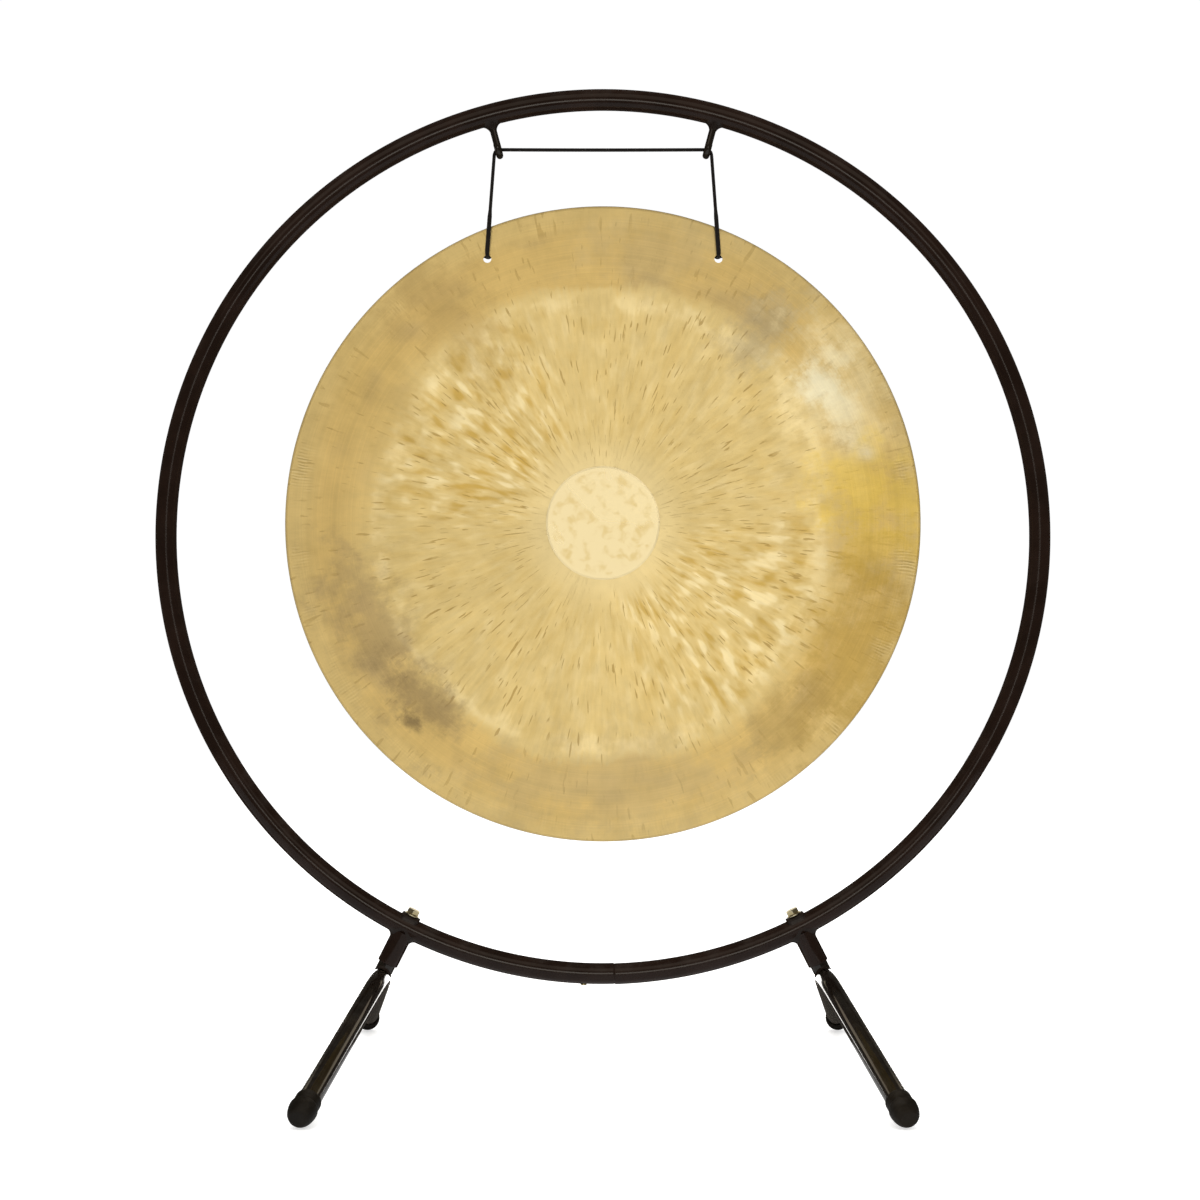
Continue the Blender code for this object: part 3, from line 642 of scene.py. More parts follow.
def footProfile():
    sleeve, length, widest = foot["sleeveRadius"], foot["sleeveLength"], foot["widest"]
    bore = tubeRadius + 0.15 * mm
    profile = [(bore - 0.5 * mm, -length + 1.2 * mm), (bore, -length + 0.25 * mm),
               (bore + 0.25 * mm, -length), (sleeve - 0.3 * mm, -length),
               (sleeve - 0.08 * mm, -length + 0.1 * mm), (sleeve, -length + 0.35 * mm)]
    flareStart, flareEnd = -6.6 * mm, -3.8 * mm
    for height in np.linspace(-length + 0.8 * mm, flareStart, 36):
        dip = sum(np.exp(-(((height - middle) / (0.28 * mm)) ** 2)) for middle in foot["grooves"])
        profile.append((sleeve - foot["grooveDepth"] * dip, height))
    for share in np.linspace(0, 1, 16)[1:]:
        ease = share * share * (3 - 2 * share)
        profile.append((sleeve + (widest - sleeve) * ease, flareStart + (flareEnd - flareStart) * share))
    # a short straight side, then the round end
    tip = footRadius - foot["tipFlat"]
    for share in np.linspace(0, 1, 44)[1:]:
        turn = pi / 2 * share
        radius = widest * cos(turn) ** 0.64
        height = flareEnd + (footRadius - flareEnd) * sin(turn)
        profile.append((max(radius, 0.2 * mm), height - max(0, height - tip) * 0.88))
    return profile


def makeFoot(end, endSign, side, sign):
    slope = legSlope()[0]
    along = outward(sign * legAngle) * sin(slope) + Vector((0, endSign * cos(slope), 0))
    turn = along.to_track_quat("Z", "Y").to_matrix().to_4x4()
    rings = turned(footProfile(), foot["around"])
    # the mould's parting line runs round the foot through its axis
    angles = np.linspace(0, 2 * pi, foot["around"], endpoint=False)
    ridge = np.exp(-((np.sin(angles) / 0.05) ** 2)) * foot["partingLine"]
    radial = rings[:, :, :2]
    size = np.linalg.norm(radial, axis=2, keepdims=True)
    share = np.minimum(1, size / (6 * mm)) / np.maximum(size, mm)
    rings[:, :, :2] = radial * (1 + ridge[None, :, None] * share)
    rings = moved(rings, Matrix.Translation(footMiddle(end, side)) @ turn)
    rings[:, :, 2] = np.maximum(rings[:, :, 2], 0.0)
    name = "rubberFoot_" + end + "_" + side
    mesh = ringMesh(name, rings, capEnd=True)
    piece = objectFrom(name, mesh, [rubber], "stand", 50)
    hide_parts("foot_" + end + "_" + side)


for side, sign in sides.items():
    makeLeg(side, sign)
    for end, endSign in ends.items():
        makeFoot(end, endSign, side, sign)
print("legs and feet made")


# leg bolts, each with a washer on a shaped pad inside the hoop

bolt = {
    "radius": 3 * mm,
    "length": 35 * mm,
    "acrossFlats": 10 * mm,
    "headHeight": 4 * mm,
    "chamfer": 30,             # degrees
    "pitch": 1.0 * mm,
    "thread": 0.3 * mm,
    "washerRadius": 6.25 * mm,
    "washerBore": 3.3 * mm,
    "washerThickness": 1.2 * mm,
    "padLength": 16.5 * mm,
    "padWidth": 14 * mm,
    "padThickness": 1.6 * mm,
    "padCorner": 3 * mm,
    "gap": 0.3 * mm,
}


def padOutline(inset, count=96):
    # a rectangle with round corners, as a closed loop of (x, y)
    halfLong = bolt["padLength"] / 2 - inset
    halfWide = bolt["padWidth"] / 2 - inset
    corner = max(bolt["padCorner"] - inset, 0.4 * mm)
    loop = []
    centres = [(1, 1, 0), (-1, 1, 90), (-1, -1, 180), (1, -1, 270)]
    for signX, signY, start in centres:
        for step in range(count // 4):
            turn = radians(start + 90 * step / (count // 4 - 1))
            loop.append((signX * (halfLong - corner) + corner * cos(turn),
                         signY * (halfWide - corner) + corner * sin(turn)))
    return np.array(loop)


def makePad(side, sign):
    top = -bolt["padThickness"]
    place = radialFrame(sign * legAngle, hoopRadius - tubeRadius - bolt["gap"])
    rows = []
    layers = [(6.9 * mm, top, 0), (5.2 * mm, top, 0), (3.0 * mm, top, 0), (1.0 * mm, top, 0),
              (0.55 * mm, top + 0.05 * mm, 0), (0.2 * mm, top + 0.25 * mm, 0), (0.0, top + 0.6 * mm, 0),
              (0.0, 0.0, 1), (0.1 * mm, 1.2 * mm, 1), (-0.25 * mm, 2.0 * mm, 1), (-0.6 * mm, 3.4 * mm, 1)]
    for inset, height, hug in layers:
        loop = padOutline(inset)
        row = np.zeros((len(loop), 3))
        row[:, :2] = loop
        row[:, 2] = height
        if not hug:
            past = np.maximum(np.abs(row[:, 1]) - 5.0 * mm, 0)
            row[:, 2] += np.minimum(past * 1.15, 2.6 * mm)
        if hug:
            # the skirt follows the tube's round
            skirt = tubeRadius + bolt["gap"] - np.sqrt(np.maximum(tubeRadius**2 - row[:, 1] ** 2, 0))
            row[:, 2] = np.maximum(height, 0) * 0.35 + skirt * (height / (3.4 * mm) if height > 0 else 0)
        rows.append(row)
    mesh = ringMesh("saddlePad_" + side, moved(np.array(rows), place), capStart=True)
    piece = objectFrom("saddlePad_" + side, mesh, [weldPaint], "stand", 50)
    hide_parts("saddle_pad_" + side)


def makeWasher(side, sign):
    outer, inner, thick = bolt["washerRadius"], bolt["washerBore"], bolt["washerThickness"]
    seat = hoopRadius - tubeRadius - bolt["gap"] * 2 - bolt["padThickness"] - thick
    place = radialFrame(sign * legAngle, seat)
    edge = 0.18 * mm
    profile = [(inner, edge), (inner + edge, 0), (outer - 0.8 * mm, 0), (outer - 0.35 * mm, 0.05 * mm),
               (outer - 0.1 * mm, 0.18 * mm), (outer, 0.45 * mm), (outer, thick - edge),
               (outer - edge, thick), (inner, thick), (inner, edge)]
    mesh = ringMesh("boltWasher_" + side, turned(profile, 72, place))
    piece = objectFrom("boltWasher_" + side, mesh, [zinc], "stand", 45)
    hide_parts("bolt_washer_" + side)


def makeBolt(side, sign):
    seat = hoopRadius - tubeRadius - bolt["gap"] * 3 - bolt["padThickness"] - bolt["washerThickness"]
    place = radialFrame(sign * legAngle, seat)
    count = 120
    angles = np.linspace(0, 2 * pi, count, endpoint=False)
    flat = bolt["acrossFlats"] / 2
    hexed = flat / np.cos((angles + pi / 6) % (pi / 3) - pi / 6)
    hexed = np.minimum(hexed, flat * 1.145)
    height, slope = bolt["headHeight"], tan(radians(bolt["chamfer"]))
    crown = flat * 0.93
    rows = []

    def ring(radii, heights):
        rows.append(np.stack([radii * np.cos(angles), radii * np.sin(angles),
                              np.broadcast_to(heights, (count,))], axis=1))

    # from the dished middle of the head's top, over the chamfer, down the flats
    for radius, dip in ((0.6 * mm, 0.16), (2.2 * mm, 0.16), (2.9 * mm, 0.12), (3.3 * mm, 0.0)):
        ring(np.full(count, radius), -height + dip * mm)
    ring(np.full(count, crown), -height)
    for share in (0.33, 0.66, 1.0):
        radii = crown + (hexed - crown) * share
        ring(radii, -height + (radii - crown) * slope)
    ring(hexed, -1.2 * mm)
    ring(hexed, -0.35 * mm)
    ring(hexed * 0.985, -0.22 * mm)
    ring(np.full(count, flat * 0.93), -0.2 * mm)
    ring(np.full(count, flat * 0.92), 0.0)
    ring(np.full(count, bolt["radius"] + 0.25 * mm), 0.0)
    ring(np.full(count, bolt["radius"]), 0.3 * mm)
    for step in range(int(9 * bolt["length"] / bolt["pitch"])):
        at = 1.2 * mm + step * bolt["pitch"] / 9
        if at > bolt["length"] - 1 * mm:
            break
        phase = (at / bolt["pitch"] - angles / (2 * pi)) % 1
        ring(bolt["radius"] - bolt["thread"] * np.abs(2 * phase - 1) * min(1, (at - 1 * mm) / (3 * mm)), at)
    ring(np.full(count, bolt["radius"] - 0.8 * mm), bolt["length"] - 0.1 * mm)
    mesh = ringMesh("legBolt_" + side, moved(np.array(rows), place), capStart=True, capEnd=True)
    piece = objectFrom("legBolt_" + side, mesh, [zinc], "stand", 30)
    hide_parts("leg_bolt_" + side)


# the small screw that holds the hoop's sleeve, beside the seam

spliceScrew = {
    "radius": 2.75 * mm,
    "height": 1.4 * mm,
    "stem": 1.75 * mm,
    "slotWidth": 0.55 * mm,
    "slotDepth": 0.7 * mm,
    "slotReach": 1.5 * mm,
}


def makeSpliceScrew():
    low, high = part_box("hoop_splice_screw")
    angle = atan2((low.x + high.x) / 2, hoopCentre.z - (low.z + high.z) / 2)
    place = radialFrame(angle, hoopRadius + tubeRadius)
    count = 144
    angles = np.linspace(0, 2 * pi, count, endpoint=False)
    rows = []
    for turn in np.linspace(0.03, 1, 26):
        radius = spliceScrew["radius"] * turn
        dome = spliceScrew["height"] * (1 - 0.55 * turn**2.6)
        x, y = radius * np.cos(angles), radius * np.sin(angles)
        arm = np.minimum(np.abs(x), np.abs(y))
        inside = 1 / (1 + np.exp((arm - spliceScrew["slotWidth"] / 2) / (0.05 * mm)))
        reach = 1 / (1 + np.exp((radius - spliceScrew["slotReach"]) / (0.07 * mm)))
        rows.append(np.stack([x, y, dome - spliceScrew["slotDepth"] * inside * reach], axis=1))
    rim = spliceScrew["radius"]
    for radius, height in ((rim, 0.3 * mm), (rim - 0.15 * mm, 0.05 * mm),
                           (spliceScrew["stem"], -0.1 * mm), (spliceScrew["stem"], -4.0 * mm)):
        rows.append(np.stack([radius * np.cos(angles), radius * np.sin(angles),
                              np.full(count, height)], axis=1))
    mesh = ringMesh("spliceScrew", moved(np.array(rows), place), capStart=True, capEnd=True)
    piece = objectFrom("spliceScrew", mesh, [zinc], "stand", 35)
    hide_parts("hoop_splice_screw")


for side, sign in sides.items():
    makePad(side, sign)
    makeWasher(side, sign)
    makeBolt(side, sign)
makeSpliceScrew()
print("bolts, washers, pads and the splice screw made")


# hooks: a rod welded under the hoop, curled up to the rear

hookLow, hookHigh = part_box("cord_hook_right")
rodRadius = -hookLow.y
hookBend = (hookHigh.y - hookLow.y) / 2 - rodRadius
hookSeat = Vector((hookLow.x + rodRadius, hookBend, swingPivot.z))
hookAngle = atan2(hookSeat.x, hookSeat.z - hoopCentre.z)
hookSeatRadius = Vector((hookSeat.x, 0, hookSeat.z - hoopCentre.z)).length

hook = {
    "around": 40,
    "tipRise": 6 * mm,
    "tipRound": 1.1 * mm,
    "weld": 5.2 * mm,
}


def makeHook(side, sign):
    out = outward(pi - sign * hookAngle)
    middle = hookSeatRadius + hookBend
    outline = [(0.0, radius) for radius in np.linspace(hoopRadius - 2 * mm, middle, 24)]
    for turn in np.linspace(0, pi, 60)[1:]:
        outline.append((hookBend * (1 - cos(turn)), middle - hookBend * sin(turn)))
    rises = np.linspace(0, hook["tipRise"] - hook["tipRound"], 8)[1:]
    outline += [(2 * hookBend, middle + rise) for rise in rises]
    path = [hoopCentre + out * radius + Vector((0, y, 0)) for y, radius in outline]
    radii = [rodRadius] * len(path)
    for turn in np.linspace(0, pi / 2, 8)[1:]:
        rise = hook["tipRise"] - hook["tipRound"] * (1 - sin(turn))
        path.append(hoopCentre + out * (middle + rise) + Vector((0, 2 * hookBend, 0)))
        radii.append(rodRadius - hook["tipRound"] * (1 - cos(turn)))
    rings = tubeRings(path, radii, hook["around"], (1, 0, 0))
    mesh = ringMesh("cordHook_" + side, rings, capStart=True, capEnd=True)
    piece = objectFrom("cordHook_" + side, mesh, [legPaint], "stand", 50)
    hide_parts("cord_hook_" + side)
    place = radialFrame(pi - sign * hookAngle, hoopRadius)
    makeWeld("hookWeld_" + side, rodRadius, tubeRadius, hook["weld"], place, up=-1, seed=11 + sign,
             pitch=1.0 * mm)


for side, sign in sides.items():
    makeHook(side, sign)
print("hooks made")


# cord: one black braid over both hooks and through both holes

cord = {
    "radius": 1.5 * mm,
    "around": 32,
    "spacing": 0.4 * mm,
    "strands": 8,              # each way round
    "pitch": 9 * mm,           # one full turn of a strand
    "relief": 0.16 * mm,
    "faceGap": 0.9 * mm,
    "holeSpacing": 200 * mm,
    "knotTurns": 2.6,
    "knotLength": 10 * mm,
    "knotRadius": 2.6 * mm,    # middle of the cord in the knot
    "knotRise": 4.2 * mm,      # the pull draws the knot up behind the hole
    "squeeze": 0.80,           # pressed thinner where it bears on the hole's edge
    "squeezeUp": 0.45 * mm,
    "spread": 1.30,            # and looser where it hangs before the face
    "tail": 18 * mm,
    "tailLean": 0.05,
    "tailSag": 9 * mm,
}
cordOffRod = rodRadius + cord["radius"] + 0.3 * mm
spanHeight = swingPivot.z + cordOffRod
dropTop = hookSeat.x + cordOffRod
holeX = cord["holeSpacing"] / 2
holeDrop = cord["radius"] + 0.3 * mm + 2 * cord["radius"]     # tilt pivot down to the cord in the hole
gongGap = cord["radius"] + cord["faceGap"]


def braidHeight(along, around):
    # over-and-under strands of a tubular braid, 0 in the valleys and 1 on the crowns
    lay = along / cord["pitch"]
    n = cord["strands"]
    right = (around * n + lay * n) % 1
    left = (around * n - lay * n) % 1
    ridgeRight = np.cos(pi * (right - 0.5)) ** 0.8
    ridgeLeft = np.cos(pi * (left - 0.5)) ** 0.8
    cellA = np.floor(around * n + lay * n)
    cellB = np.floor(around * n - lay * n)
    over = ((cellA + cellB) % 2) == 0
    return np.where(over, np.maximum(ridgeRight, 0.45 * ridgeLeft), np.maximum(ridgeLeft, 0.45 * ridgeRight))


def makeCordMaterial():
    material, tree, inputs = newMaterial("cordBraid", **{"Specular IOR Level": 0.18, "Sheen Weight": 0.06})
    uv = put(tree, "ShaderNodeUVMap", uv_map="wrap").outputs[0]
    parts = put(tree, "ShaderNodeSeparateXYZ", {0: uv})
    lay = times(tree, parts.outputs[0], cord["strands"] / cord["pitch"])
    turn = times(tree, parts.outputs[1], float(cord["strands"]))
    one = plus(tree, turn, lay)
    two = minus(tree, turn, lay)
    ridgeOne = calc(tree, "SINE", times(tree, calc(tree, "FRACT", one), pi))
    ridgeTwo = calc(tree, "SINE", times(tree, calc(tree, "FRACT", two), pi))
    cell = plus(tree, calc(tree, "FLOOR", one), calc(tree, "FLOOR", two))
    over = calc(tree, "COMPARE", calc(tree, "FLOORED_MODULO", cell, 2.0), 0.0, 0.5)
    crown = plus(tree, times(tree, ridgeOne, over),
                 times(tree, ridgeTwo, minus(tree, 1.0, over)))
    # fibres run along each strand
    fibreOne = times(tree, one, 7.0)
    fibreTwo = times(tree, two, 7.0)
    fibre = plus(tree, times(tree, fibreOne, over),
                 times(tree, fibreTwo, minus(tree, 1.0, over)))
    fibre = calc(tree, "SINE", times(tree, fibre, 2 * pi))
    height = timesPlus(tree, fibre, 0.08, crown)
    stretched = put(tree, "ShaderNodeMapping", {"Vector": uv, "Scale": (260.0, 3.0, 1.0)}).outputs[0]
    wear = remap(tree, noise(tree, stretched, 1.0, 3.0, 0.6), 0.35, 0.7)
    # painted shade: the valleys between the strands are painted darker and the crowns lighter
    colour = mixColours(tree, crown, rgb((0.002, 0.0014, 0.0012)), rgb((0.0105, 0.0075, 0.0062)))
    colour = mixColours(tree, times(tree, wear, 0.4), colour, rgb((0.017, 0.0125, 0.010)))
    film = place(tree, dust, Amount=0.12, Grain=0.4)
    colour = mixColours(tree, film["Mask"], colour, rgb((0.10, 0.095, 0.085)))
    tree.links.new(colour, inputs["Base Color"])
    tree.links.new(timesPlus(tree, crown, -0.15, 0.8), inputs["Roughness"])
    addBump(tree, inputs, height, 0.5, 0.0002)
    return material


cordBraid = makeCordMaterial()


def cordMesh(name, path, melt=False, thickness=None):
    path = resample(path, cord["spacing"])
    along = arcLengths(path)
    around = np.arange(cord["around"]) / cord["around"]
    height = braidHeight(along[:, None], around[None, :])
    radii = cord["radius"] - cord["relief"] * (1 - height)
    if melt:
        # the cut end is melted to a small hard bead
        left = along[-1] - along
        bead = np.clip(1 - left / (2.2 * mm), 0, 1)[:, None]
        dome = np.clip(1 - ((left - 1.6 * mm) / (1.75 * mm)) ** 2, 0.02, 1)
        smooth = cord["radius"] * np.sqrt(dome)[:, None]
        radii = np.where(bead > 0, radii * (1 - bead**0.5) + smooth * 1.06 * bead**0.5, radii)
    if thickness is not None:
        radii = radii * np.array([thickness(point) for point in path])[:, None]
    rings = tubeRings(path, radii, cord["around"], (0, 1, 0))
    return ringMesh(name, rings, capStart=True, capEnd=True, alongs=along)


def spanPath():
    # from halfway down one hook's outside, over the top, to the other
    corner = [Vector((hookSeat.x, swingPivot.y, swingPivot.z))
              + Vector((cos(turn), 0, sin(turn))) * cordOffRod
              for turn in np.linspace(radians(30), pi / 2, 14)]
    middle = [Vector((corner[-1].x * (1 - 2 * share), swingPivot.y, spanHeight - 0.25 * mm * sin(pi * share)))
              for share in np.linspace(0, 1, 40)[1:-1]]
    mirrored = [Vector((-point.x, point.y, point.z)) for point in reversed(corner)]
    return corner + middle + mirrored


def dropPath(sign, fromShare, toShare):
    # from over the hook down to the hole's level
    top = Vector((sign * dropTop, swingPivot.y, swingPivot.z))
    bottom = Vector((sign * holeX, tiltPivot.y, tiltPivot.z))
    return [top.lerp(bottom, share) for share in np.linspace(fromShare, toShare, 20)]


def wrapPath(sign):
    return [Vector((sign * hookSeat.x, swingPivot.y, swingPivot.z))
            + Vector((sign * cos(turn), 0, sin(turn))) * cordOffRod
            for turn in np.linspace(radians(55), 0, 14)]


def roundCorners(path, rounds):
    path = [np.array(point, float) for point in path]
    for _ in range(rounds):
        inner = [(path[i - 1] + 2 * path[i] + path[i + 1]) / 4 for i in range(1, len(path) - 1)]
        path = [path[0]] + inner + [path[-1]]
    return path


def endPath(sign):
    # down to the hole, through it, the knot behind, and the loose end
    x = sign * holeX
    top = tiltPivot.z
    turn = 2 * cord["radius"]
    level = top - holeDrop + cord["squeezeUp"]
    y0 = tiltPivot.y
    points = [Vector((x, y0, top)), Vector((x, y0, level + turn))]
    for step in np.linspace(0, pi / 2, 10)[1:]:
        points.append(Vector((x, y0 + turn * (1 - cos(step)), level + turn * (1 - sin(step)))))
    start = y0 + gongGap + 1.4 * mm + cord["radius"]
    stop = start + cord["knotLength"] - cord["radius"]
    rise = cord["knotRise"]
    for share in np.linspace(0, 1, 12):
        y = y0 + turn + 0.3 * mm + (stop - 2.5 * mm - y0 - turn) * share
        points.append(Vector((x, y, level + rise * share**1.5)))
    wind = np.linspace(0, 1, 110)
    for share in wind:
        # out to the winding's radius, back over the standing part, and in again
        swell = min(1, share / 0.10, (1 - share) / 0.10)
        swell = swell * swell * (3 - 2 * swell)
        radius = cord["knotRadius"] * swell
        angle = radians(80) + sign * 2 * pi * cord["knotTurns"] * share
        y = stop - (stop - start) * min(1, max(0, (share - 0.03) / 0.94))
        points.append(Vector((x + radius * cos(angle), y, level + rise + radius * sin(angle))))
    points += [Vector((x, y, level + rise)) for y in np.linspace(start + 1 * mm, stop + 0.4 * mm, 12)]
    # the loose end turns outward and down
    bend, tail = 3.4 * mm, cord["tail"]
    end = points[-1]
    aside = Vector((sign * cos(cord["tailLean"]), 0, -sin(cord["tailLean"])))
    for step in np.linspace(0, pi / 2, 10)[1:]:
        points.append(end + Vector((0, bend * sin(step), 0)) + aside * bend * (1 - cos(step)))
    end = points[-1]
    for share in np.linspace(0, 1, 12)[1:]:
        sag = Vector((0, 0, -cord["tailSag"] * share * share))
        points.append(end + aside * (tail - bend) * 0.8 * share + sag)
    return points


def thicknessInHole(point):
    back = point[1] - tiltPivot.y
    pinch = 1 - (1 - cord["squeeze"]) * np.exp(-(((back - 3.0 * mm) / (1.8 * mm)) ** 2)) * (back > 0)
    before = np.clip((tiltPivot.z + 36 * mm - point[2]) / (6 * mm), 0, 1) * np.clip(1 - back / (1 * mm), 0, 1)
    return pinch * (1 + (cord["spread"] - 1) * before)


def makeCord():
    mesh = cordMesh("cordSpan", spanPath())
    piece = objectFrom("cordSpan", mesh, [cordBraid], "stand", 180)
    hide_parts("cord_top_span")
    for side, sign in sides.items():
        path = wrapPath(sign) + dropPath(sign, 0.02, 0.55)
        path = roundCorners(resample(path, 0.8 * mm), 3)
        mesh = cordMesh("cordUpper_" + side, path)
        piece = objectFrom("cordUpper_" + side, mesh, [cordBraid], None, 180)
        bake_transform(piece)
        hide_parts("cord_drop_" + side)
        path = dropPath(sign, 0.50, 0.97) + endPath(sign)
        path = roundCorners(resample(path, 0.5 * mm), 4)
        mesh = cordMesh("cordLower_" + side, path, melt=True, thickness=thicknessInHole)
        piece = objectFrom("cordLower_" + side, mesh, [cordBraid], None, 180)
        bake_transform(piece)
        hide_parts("cord_knot_" + side)


makeCord()
print("cord made")


# gong: a thin hammered disc, lathed on both faces, crowned to the front

gong = {
    "rings": 150,
    "around": 420,
    "thickness": 1.4 * mm,
    "crown": 5 * mm,
    "centreRadius": 49 * mm,
    "centreRaise": 0.22 * mm,
    "centreSlope": 1.8 * mm,
    "holeRadius": 3.5 * mm,
    "edgeRound": 0.35 * mm,
    "hammerBlows": 1500,
    "blowDepth": 0.055 * mm,
    "warp": 0.12 * mm,
    "ticks": 620.0,            # hammered ticks round the rim
    "seed": 21,
}
gongLow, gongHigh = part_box("gong_disc")
gongRadius = (gongHigh.x - gongLow.x) / 2
holeRise = sqrt((gongRadius - 25 * mm) ** 2 - holeX**2)
gongMiddle = -holeDrop + gongGap - gong["holeRadius"] - holeRise
faceAt = gongGap - gong["crown"] * (gongRadius - 25 * mm) ** 2 / gongRadius**2
hangTilt = atan2(faceAt + gong["crown"] / 2 + gong["thickness"] / 2, -gongMiddle)


def hammered(x, y):
    # shallow dents, long along the radius, that push both faces the same way
    rng = np.random.default_rng(gong["seed"])
    height = np.zeros_like(x)
    for _ in range(gong["hammerBlows"]):
        radius = gongRadius * (0.20 + 0.78 * rng.random() ** 0.8)
        angle = 2 * pi * rng.random()
        inner = radius < 0.74 * gongRadius
        long, wide = (rng.uniform(6, 13) * mm, rng.uniform(2.6, 4.6) * mm)
        depth = gong["blowDepth"] * rng.uniform(0.4, 1.2) * (1.0 if inner else 0.45)
        cx, cy = radius * cos(angle), radius * sin(angle)
        near = (np.abs(x - cx) < 2.2 * long) & (np.abs(y - cy) < 2.2 * long)
        dx, dy = x[near] - cx, y[near] - cy
        u = (dx * cos(angle) + dy * sin(angle)) / long
        v = (-dx * sin(angle) + dy * cos(angle)) / wide
        height[near] -= depth * np.exp(-(u * u + v * v))
    for k, turns in ((2, 0.7), (3, 2.1), (5, 4.0), (7, 1.3)):
        angle = np.arctan2(y, x)
        radius = np.hypot(x, y) / gongRadius
        height += gong["warp"] / k * np.cos(k * angle + turns) * radius**2 * np.sin(4 * radius + turns)
    return height


def gongMesh():
    half, thick = gongRadius, gong["thickness"]
    centre, slope = gong["centreRadius"], gong["centreSlope"]
    edge = gong["edgeRound"]
    radii = [1.2 * mm]
    while radii[-1] < half - edge - 1.0 * mm:
        step = (half - edge) / gong["rings"]
        here = radii[-1]
        if centre - 3 * mm < here < centre + 1.5 * mm:
            step = 0.25 * mm
        radii.append(here + step)
    radii[-1] = half - edge
    radii = np.array(radii)
    angles = np.linspace(0, 2 * pi, gong["around"], endpoint=False)

    def face(radii, front):
        x = np.outer(radii, np.cos(angles))
        y = np.outer(radii, np.sin(angles))
        crown = -gong["crown"] * (radii**2) / half**2
        z = np.repeat(crown[:, None], len(angles), axis=1)
        if front:
            step = np.clip((centre - radii) / slope, 0, 1)
            z += (gong["centreRaise"] * step * step * (3 - 2 * step))[:, None]
        else:
            z -= thick
        fade = np.clip((half - radii) / (4 * mm), 0, 1)[:, None]
        z += hammered(x, y) * (0.15 + 0.85 * fade)
        return np.stack([x, y, z], axis=2)

    front, back = face(radii, True), face(radii[::-1], False)
    rim = []
    top, bottom = front[-1], back[0]
    for turn in np.linspace(0, pi, 9)[1:-1]:
        ring = top * (1 + cos(turn)) / 2 + bottom * (1 - cos(turn)) / 2
        swell = edge * sin(turn) ** 0.7
        away = ring[:, :2] / np.linalg.norm(ring[:, :2], axis=1)[:, None]
        ring = ring.copy()
        ring[:, :2] += away * swell
        rim.append(ring)
    rings = np.concatenate([front, np.array(rim), back])
    mesh = ringMesh("gong", rings, capStart=True, capEnd=True)
    split = len(front) + len(rim) // 2
    slots = np.zeros(len(mesh.polygons), np.int32)
    for polygon in mesh.polygons:
        row = polygon.index // gong["around"]
        if row >= split and polygon.index < len(mesh.polygons) - 2:
            slots[polygon.index] = 1
    slots[-2], slots[-1] = 0, 1
    mesh.polygons.foreach_set("material_index", slots)
    return mesh


def makeLatheRings():
    group, give, take = newGroup("latheRings", {"Spacing": 0.9, "Patchy": 0.5}, ["Line", "Band"])
    where = ownPlace(group)
    flat = put(group, "ShaderNodeVectorMath", {0: where, 1: (1, 1, 0)}, operation="MULTIPLY").outputs[0]
    radius = put(group, "ShaderNodeVectorMath", {0: flat}, operation="LENGTH").outputs["Value"]
    run = calc(group, "DIVIDE", times(group, radius, 1000.0), give["Spacing"])
    slow = put(group, "ShaderNodeVectorMath", {0: flat, 1: (7, 7, 7)}, operation="MULTIPLY").outputs[0]
    drift = noise(group, slow, 1.0, 2.0, 0.5)
    spot = put(group, "ShaderNodeCombineXYZ", {0: run, 1: times(group, drift, 0.6)}).outputs[0]
    fine = noise(group, spot, 1.0, 3.0, 0.75)
    wide = put(group, "ShaderNodeCombineXYZ", {0: times(group, run, 0.11), 1: 4.0}).outputs[0]
    patch = remap(group, noise(group, where, 22.0, 3.0, 0.6), 0.3, 0.7)
    keep = plus(group, times(group, minus(group, patch, 1.0), give["Patchy"]), 1.0)
    group.links.new(times(group, minus(group, fine, 0.5), keep), take["Line"])
    group.links.new(noise(group, wide, 1.0, 2.0, 0.5), take["Band"])
    return group


def makeHammerMarks():
    # streaks and dents that fan out from the middle
    inputs = {"Around": 20.0, "Along": 45.0, "Seed": 0.0}
    group, give, take = newGroup("hammerMarks", inputs, ["Dent", "Streak"])
    where = ownPlace(group)
    flat = put(group, "ShaderNodeVectorMath", {0: where, 1: (1, 1, 0)}, operation="MULTIPLY").outputs[0]
    radius = put(group, "ShaderNodeVectorMath", {0: flat}, operation="LENGTH").outputs["Value"]
    ray = put(group, "ShaderNodeVectorMath", {0: flat}, operation="NORMALIZE").outputs[0]
    spread = put(group, "ShaderNodeVectorMath", {0: ray, 3: give["Around"]}, operation="SCALE").outputs[0]
    parts = put(group, "ShaderNodeSeparateXYZ", {0: spread})
    depth = plus(group, times(group, radius, give["Along"]), give["Seed"])
    fan = put(group, "ShaderNodeCombineXYZ", {0: parts.outputs[0], 1: parts.outputs[1], 2: depth}).outputs[0]
    group.links.new(noise(group, fan, 1.0, 1.0, 0.4, 0.2), take["Dent"])
    fine = put(group, "ShaderNodeVectorMath", {0: fan, 1: (3.1, 3.1, 0.8)}, operation="MULTIPLY").outputs[0]
    group.links.new(noise(group, fine, 1.0, 3.0, 0.6), take["Streak"])
    return group


